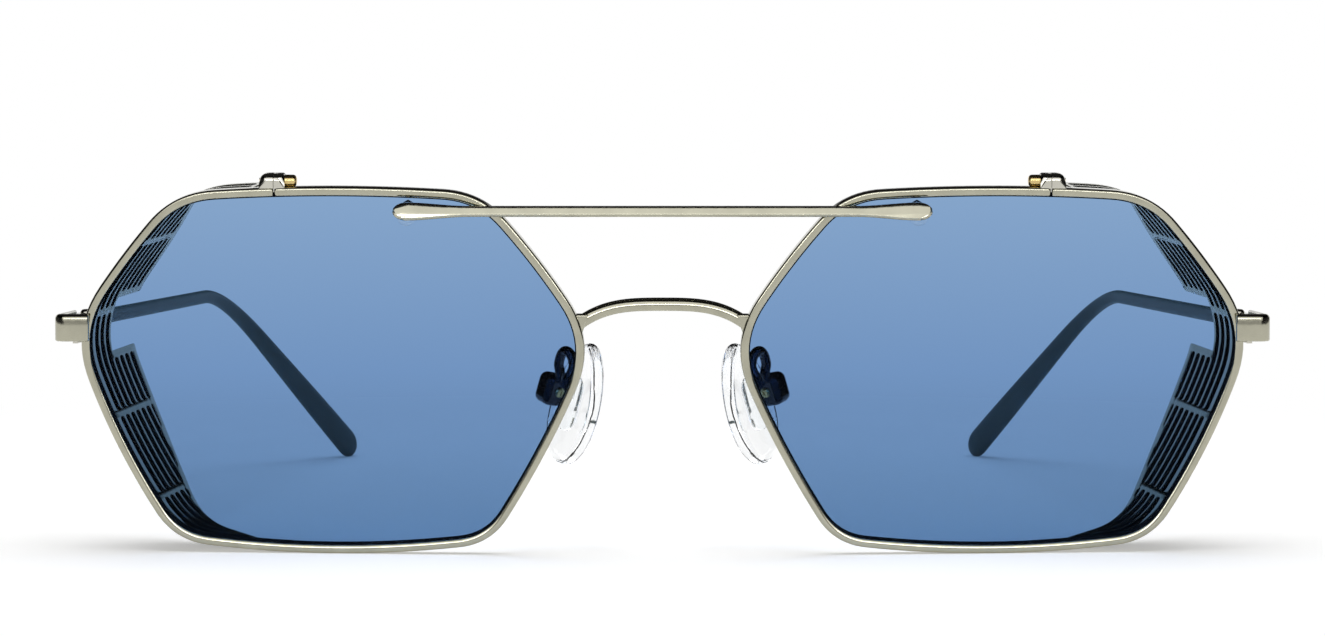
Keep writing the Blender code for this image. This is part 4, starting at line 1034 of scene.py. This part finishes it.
sleeve_path = [sleeve_start.lerp(bend_in, t) for t in shares(SLEEVE_STEPS)]
sleeve_path += [curve_point(bend_in, ear_corner, bend_out, t) for t in shares(EAR_BEND_STEPS)]
sleeve_path += [bend_out.lerp(round_start, t) for t in shares(TIP_STEPS)]
sleeve_path += [round_start + fall * TIP_ROUND * math.sin(math.pi / 2 * t) for t in shares(TIP_ROUND_STEPS)]
sleeve_path.append(tip_end - fall * TIP_FLAT)
sleeve_stations = []
for place, way in along(sleeve_path):
    from_end = (tip_end - place).length
    swell = eased(1 - from_end / PADDLE_LENGTH)
    inside = min(1.0, from_end / TIP_ROUND)
    taper = math.sqrt(1 - (1 - inside) ** 2)
    width = (SLEEVE_WIDTH + (PADDLE_WIDTH - SLEEVE_WIDTH) * swell) * taper
    height = (SLEEVE_HEIGHT + (PADDLE_HEIGHT - SLEEVE_HEIGHT) * swell) * taper
    sleeve_stations.append(station_at(place, way, upwards, width, height))
sleeve = drawn(circle(SLEEVE_POINTS), sleeve_stations)
moved(sleeve, temple_place)
slate_plastic = slate_satin("slate_sleeve", (0.36, 0.5))
both_sides("temple_sleeve", sleeve, slate_plastic, "sleeve", "temple_{side}", "temple_tip")


# Nose pads
# Each pad is a clear silicone oval moulded over a hard clear insert. The insert's lug rocks on a screw in
# a small near-black metal box, and a looped wire carries the box from the back of the rim.

PAD_BOX = Vector((-0.01255, -0.0074, -0.0080))
PAD_LEAN = math.radians(15.5)
PAD_SPLAY = math.radians(34.0)
PAD_LENGTH = 0.0144
PAD_WIDTH = 0.0084
PAD_THICKNESS = 0.0024
PAD_WIDEST = 0.40
PAD_BACK_SHARE = 0.86
PAD_NARROWING = 0.14
PAD_OFFSET = 0.0029
PAD_BELOW_BOX = 0.0013
PAD_POINTS = 56
PAD_BACK_STEPS = 6
PAD_FRONT_STEPS = 14
PAD_CROWN_POWER = 0.7
INSERT_LENGTH = 0.0064
INSERT_WIDTH = 0.0034
INSERT_THICKNESS = 0.0008
INSERT_END_SHARE = 0.45
INSERT_EDGE = 0.00012
LUG_HEIGHT = 0.0014
LUG_WIDTH = 0.0013
LUG_END_SHARE = 0.49
BOX_LENGTH = 0.0036
BOX_WIDTH = 0.0031
BOX_DEPTH = 0.0027
BOX_WALL = 0.0006
BOX_FLOOR = -0.00085
BOX_ROUND = 0.0009
BOX_LIP = 0.00012
PAD_SCREW_RADIUS = 0.0003
PAD_HEAD_RADIUS = 0.0006
PAD_HEAD_LENGTH = 0.0004
WIRE_RADIUS = 0.00058
WIRE_START = Vector((0, 0, -0.0009))
WIRE_FOOT = Vector((-0.01088, -0.0060, -0.0023))
LOOP_TOP = Vector((-0.01085, -0.00267, -0.0053))
LOOP_LEG = Vector((0.00085, -0.0014, 0.0011))
# A near-black metal colour for the pad box and its wire.
NEAR_BLACK_METAL = (0.050, 0.050, 0.056)
SILICONE = (0.955, 0.965, 0.970)
SILICONE_REFRACTION = 1.38
INSERT_REFRACTION = 1.24
PAD_GRAIN = 0.00002

pad_turn = Matrix.Rotation(-PAD_LEAN, 4, "Z") @ Matrix.Rotation(PAD_SPLAY, 4, "Y")
pad_flat_place = Matrix.Translation(PAD_BOX) @ pad_turn
pad_place = stand_up @ pad_flat_place

pad_section = [(x * PAD_WIDTH / (1 + PAD_NARROWING * 2 * y), y * PAD_LENGTH) for x, y in circle(PAD_POINTS)]
pad_crown = []
for t in shares(PAD_BACK_STEPS):
    turn = math.pi / 2 * t
    share = PAD_BACK_SHARE + (1 - PAD_BACK_SHARE) * math.sin(turn)
    pad_crown.append((PAD_WIDEST * (1 - math.cos(turn)), share))
for t in shares(PAD_FRONT_STEPS):
    turn = math.pi / 2 * t
    pad_crown.append((PAD_WIDEST + (1 - PAD_WIDEST) * math.sin(turn), math.cos(turn) ** PAD_CROWN_POWER))
pad_stations = []
for height, share in pad_crown:
    place = Vector((PAD_OFFSET + height * PAD_THICKNESS, -PAD_BELOW_BOX, 0))
    pad_stations.append(station_at(place, Vector((1, 0, 0)), Vector((0, 1, 0)), share, share))
pad = drawn(pad_section, pad_stations)
moved(pad, pad_place)
silicone = clear_plastic("clear_silicone", SILICONE, SILICONE_REFRACTION, PAD_GRAIN)
for made_pad in both_sides("silicone_pad", pad, silicone, "pad_silicone", "pad_{side}", "nose_pad",
                           shadow=False):
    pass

insert_back = PAD_OFFSET - INSERT_THICKNESS / 2
insert = box_body((insert_back, -PAD_BELOW_BOX - INSERT_LENGTH / 2, -INSERT_WIDTH / 2),
                  (insert_back + INSERT_THICKNESS, -PAD_BELOW_BOX + INSERT_LENGTH / 2, INSERT_WIDTH / 2))
ends = [edge for edge in insert.edges if edge.calc_length() < INSERT_THICKNESS * 1.01]
bevelled(insert, ends, INSERT_WIDTH * INSERT_END_SHARE, 8)
round_edges(insert, INSERT_EDGE, 2)
lug = box_body((-LUG_HEIGHT / 2, -LUG_HEIGHT / 2, -LUG_WIDTH / 2),
               (insert_back + INSERT_THICKNESS / 2, LUG_HEIGHT / 2, LUG_WIDTH / 2))
for eye_y in (-LUG_HEIGHT / 2, LUG_HEIGHT / 2):
    round_upright(lug, -LUG_HEIGHT / 2, eye_y, LUG_HEIGHT * LUG_END_SHARE)
added(insert, lug)
moved(insert, pad_place)
hard_clear = clear_plastic("insert_plastic", CLEAR_PLASTIC, INSERT_REFRACTION, PAD_GRAIN)
both_sides("pad_insert", insert, hard_clear, "clear_plastic", "pad_{side}", "pad_core", shadow=False)

pad_screw = slotted_screw(PAD_HEAD_RADIUS, PAD_HEAD_LENGTH, PAD_SCREW_RADIUS, BOX_WIDTH)
moved(pad_screw, pad_place @ Matrix.Translation((0, 0, BOX_WIDTH / 2)))
both_sides("pad_box_screw", pad_screw, gold_screw, "gold_screw", "front", "pad_screw")

box = box_body((BOX_FLOOR - BOX_WALL, -BOX_LENGTH / 2, -BOX_WIDTH / 2),
               (BOX_FLOOR - BOX_WALL + BOX_DEPTH, BOX_LENGTH / 2, BOX_WIDTH / 2))
round_edges(box, BOX_ROUND, 6)
mouth = max(box.faces, key=lambda face: face.calc_center_median().x)
bmesh.ops.inset_region(box, faces=[mouth], thickness=BOX_LIP)
sink(box, mouth, (BOX_WALL - BOX_DEPTH, 0, 0))
moved(box, pad_flat_place)

wire_foot = WIRE_FOOT - Vector((0, 0, WIRE_FOOT.x ** 2 / (2 * FACE_RADIUS)))
front_wall = Vector((BOX_FLOOR / 2, BOX_LENGTH / 2, BOX_WIDTH / 2))
wire_end = pad_flat_place @ (front_wall - Vector((0, WIRE_RADIUS, 0)))
rear_leg = Vector((-LOOP_LEG.x, LOOP_LEG.y, -LOOP_LEG.z))
wire_curve = bpy.data.curves.new("pad_wire", "CURVE")
wire_curve.dimensions = "3D"
wire_curve.bevel_depth = WIRE_RADIUS
wire_curve.bevel_resolution = 6
wire_curve.use_fill_caps = True
wire_curve.resolution_u = 12
wire_spline = wire_curve.splines.new("BEZIER")
wire_knots = (
    wire_foot, wire_foot + WIRE_START, LOOP_TOP + LOOP_LEG, LOOP_TOP, LOOP_TOP + rear_leg,
    pad_flat_place @ front_wall, wire_end,
)
wire_spline.bezier_points.add(len(wire_knots) - 1)
for knot, place in zip(wire_spline.bezier_points, wire_knots):
    knot.co = place
    knot.handle_left_type = knot.handle_right_type = "AUTO"
wire_object = placed("pad_wire", wire_curve)
evaluated = wire_object.evaluated_get(bpy.context.evaluated_depsgraph_get())
wire_mesh = bpy.data.meshes.new_from_object(evaluated)
box.from_mesh(wire_mesh)
bpy.data.objects.remove(wire_object)
bpy.data.meshes.remove(wire_mesh)
moved(box, stand_up)
near_black_metal = plated_metal("near_black_metal", NEAR_BLACK_METAL, (0.04, 0.08))
both_sides("pad_wire_and_box", box, near_black_metal, "fitting_metal", "front", "pad_arm")


# Studio
# The sunglasses stand on a white table that runs into a low white cove. The ceiling and side walls are
# dark and a black card hangs low behind the middle, so that plated edges read against the white. Large
# soft lights hang above, in front and at the sides.

CAMERA_FROM_FRONT = Vector((0.0, -0.3700, 0.0189))
CAMERA_PITCH = math.radians(2.65)
CAMERA_LENS = 90.5
TABLE_SIZE = 12.0
TABLE_NEAR = 0.07
TABLE_FAR = 0.20
TABLE_GLOW = 0.34
TABLE_WHITE = (0.86, 0.86, 0.86, 1.0)
TABLE_ROUGHNESS = 0.9
PURE_WHITE = (1.0, 1.0, 1.0, 1.0)
BACK_TURN = 0.3
COVE_FRONT = 0.54
COVE_BACK = 1.0
COVE_TOP = 0.26
CEILING = 0.38
CARD_DROP = 0.20
CARD_HALF = 0.11
CARD_EDGE = 0.15
CEILING_LEVEL = 0.02
WALL_START = 0.55
WALL = 0.85
WALL_LEVEL = 0.04
FRONT_WALL_DRAW = 0.17
FRONT_WALL_TURN = 0.4
AIM = Vector((0, 0, 0.02))


def stepped(tree, value, start, end, low, high):
    """As between does it, with a smooth start and end."""
    return between(tree, value, low, high, start, end, "SMOOTHSTEP")


def combined(tree, operation, first, second):
    """The sum, product or other combination of two values."""
    made = new_node(tree, "Math", {0: first, 1: second})
    made.operation = operation
    return made.outputs["Value"]


def sight(tree, *kinds):
    """1 for rays from the camera and of some other kinds, and 0 for the rest."""
    path = new_node(tree, "LightPath", {})
    seen = path.outputs["Is Camera Ray"]
    for kind in kinds:
        seen = combined(tree, "MAXIMUM", seen, path.outputs[kind])
    return seen


table, table_tree, table_shader = new_finish("white_table")
table_sight = sight(table_tree, "Is Glossy Ray", "Is Transmission Ray")
feed(table_tree, table_shader, {
    "Base Color": TABLE_WHITE, "Roughness": TABLE_ROUGHNESS, "Specular IOR Level": 0.0,
    "Emission Color": PURE_WHITE,
    "Emission Strength": combined(table_tree, "MULTIPLY", table_sight, TABLE_GLOW),
})
table_place = new_node(table_tree, "TexCoord", {}).outputs["Object"]
from_middle = new_node(table_tree, "VectorMath", {0: table_place})
from_middle.operation = "LENGTH"
far_share = stepped(table_tree, from_middle.outputs["Value"], TABLE_NEAR, TABLE_FAR, 0.0, 1.0)
far_white = new_node(table_tree, "Emission", {"Strength": table_sight})
table_mix = new_node(table_tree, "MixShader", {
    "Fac": far_share, 1: table_shader.outputs["BSDF"], 2: far_white.outputs["Emission"],
})
feed(table_tree, table_tree.nodes["Material Output"], {"Surface": table_mix.outputs["Shader"]})
floor_bm = bmesh.new()
bmesh.ops.create_grid(floor_bm, x_segments=1, y_segments=1, size=TABLE_SIZE / 2)
floor_mesh = finished(floor_bm)
floor_mesh.materials.append(table)
floor = placed("floor", floor_mesh)

world = bpy.data.worlds.new("studio")
bpy.context.scene.world = world
world.use_nodes = True
studio = world.node_tree
direction = new_node(studio, "TexCoord", {}).outputs["Generated"]
axes = new_node(studio, "SeparateXYZ", {"Vector": direction})
sideways = combined(studio, "ABSOLUTE", axes.outputs["X"], 0.0)
front_to_back = stepped(studio, axes.outputs["Y"], -BACK_TURN, BACK_TURN, COVE_FRONT, COVE_BACK)
back_card = stepped(studio, axes.outputs["Y"], -BACK_TURN, BACK_TURN, 0.0, CARD_DROP)
card_width = stepped(studio, sideways, CARD_HALF, CARD_EDGE, 1.0, 0.0)
card_drop = combined(studio, "MULTIPLY", back_card, card_width)
ceiling_height = combined(studio, "ADD", axes.outputs["Z"], card_drop)
heights = stepped(studio, ceiling_height, COVE_TOP, CEILING, 1.0, CEILING_LEVEL)
cove = combined(studio, "MULTIPLY", front_to_back, heights)
wall_draw = stepped(studio, axes.outputs["Y"], 0.0, FRONT_WALL_TURN, FRONT_WALL_DRAW, 0.0)
wall_reach = combined(studio, "ADD", sideways, wall_draw)
walls = stepped(studio, wall_reach, WALL_START, WALL, 1.0, WALL_LEVEL)
room = combined(studio, "MULTIPLY", cove, walls)
shown = combined(studio, "MAXIMUM", room, sight(studio, "Is Transmission Ray"))
feed(studio, studio.nodes["Background"], {"Color": PURE_WHITE, "Strength": shown})


def soft_light(name, place, width, height, power, glossy=True, diffuse=True):
    """A large soft light that the camera doesn't see."""
    lamp = bpy.data.lights.new(name, "AREA")
    lamp.shape = "RECTANGLE"
    lamp.size = width
    lamp.size_y = height
    lamp.energy = power
    made = placed(name, lamp)
    made.location = place
    made.rotation_euler = (AIM - Vector(place)).to_track_quat("-Z", "Y").to_euler()
    made.visible_camera = False
    made.visible_glossy = glossy
    made.visible_diffuse = diffuse


soft_light("top_light", place=(0.0, 0.05, 0.88), width=0.95, height=0.95, power=7.9, glossy=False)
soft_light("front_light", place=(0.0, -0.75, 0.36), width=1.6, height=0.55, power=3.9, diffuse=False)
soft_light("strip_light", place=(0.0, -0.75, 0.19), width=0.9, height=0.03, power=0.9, diffuse=False)
for side_x in (-0.70, 0.70):
    soft_light("side_light", place=(side_x, -0.40, 0.48), width=0.7, height=0.7, power=0.6, glossy=False)

camera = bpy.data.cameras.new("camera")
camera.lens = CAMERA_LENS
camera_object = placed("camera", camera)
camera_object.location = front_place.translation + CAMERA_FROM_FRONT
camera_object.rotation_euler = (math.pi / 2 - CAMERA_PITCH, 0, 0)
bpy.context.scene.camera = camera_object
bpy.context.scene.view_settings.view_transform = "Standard"
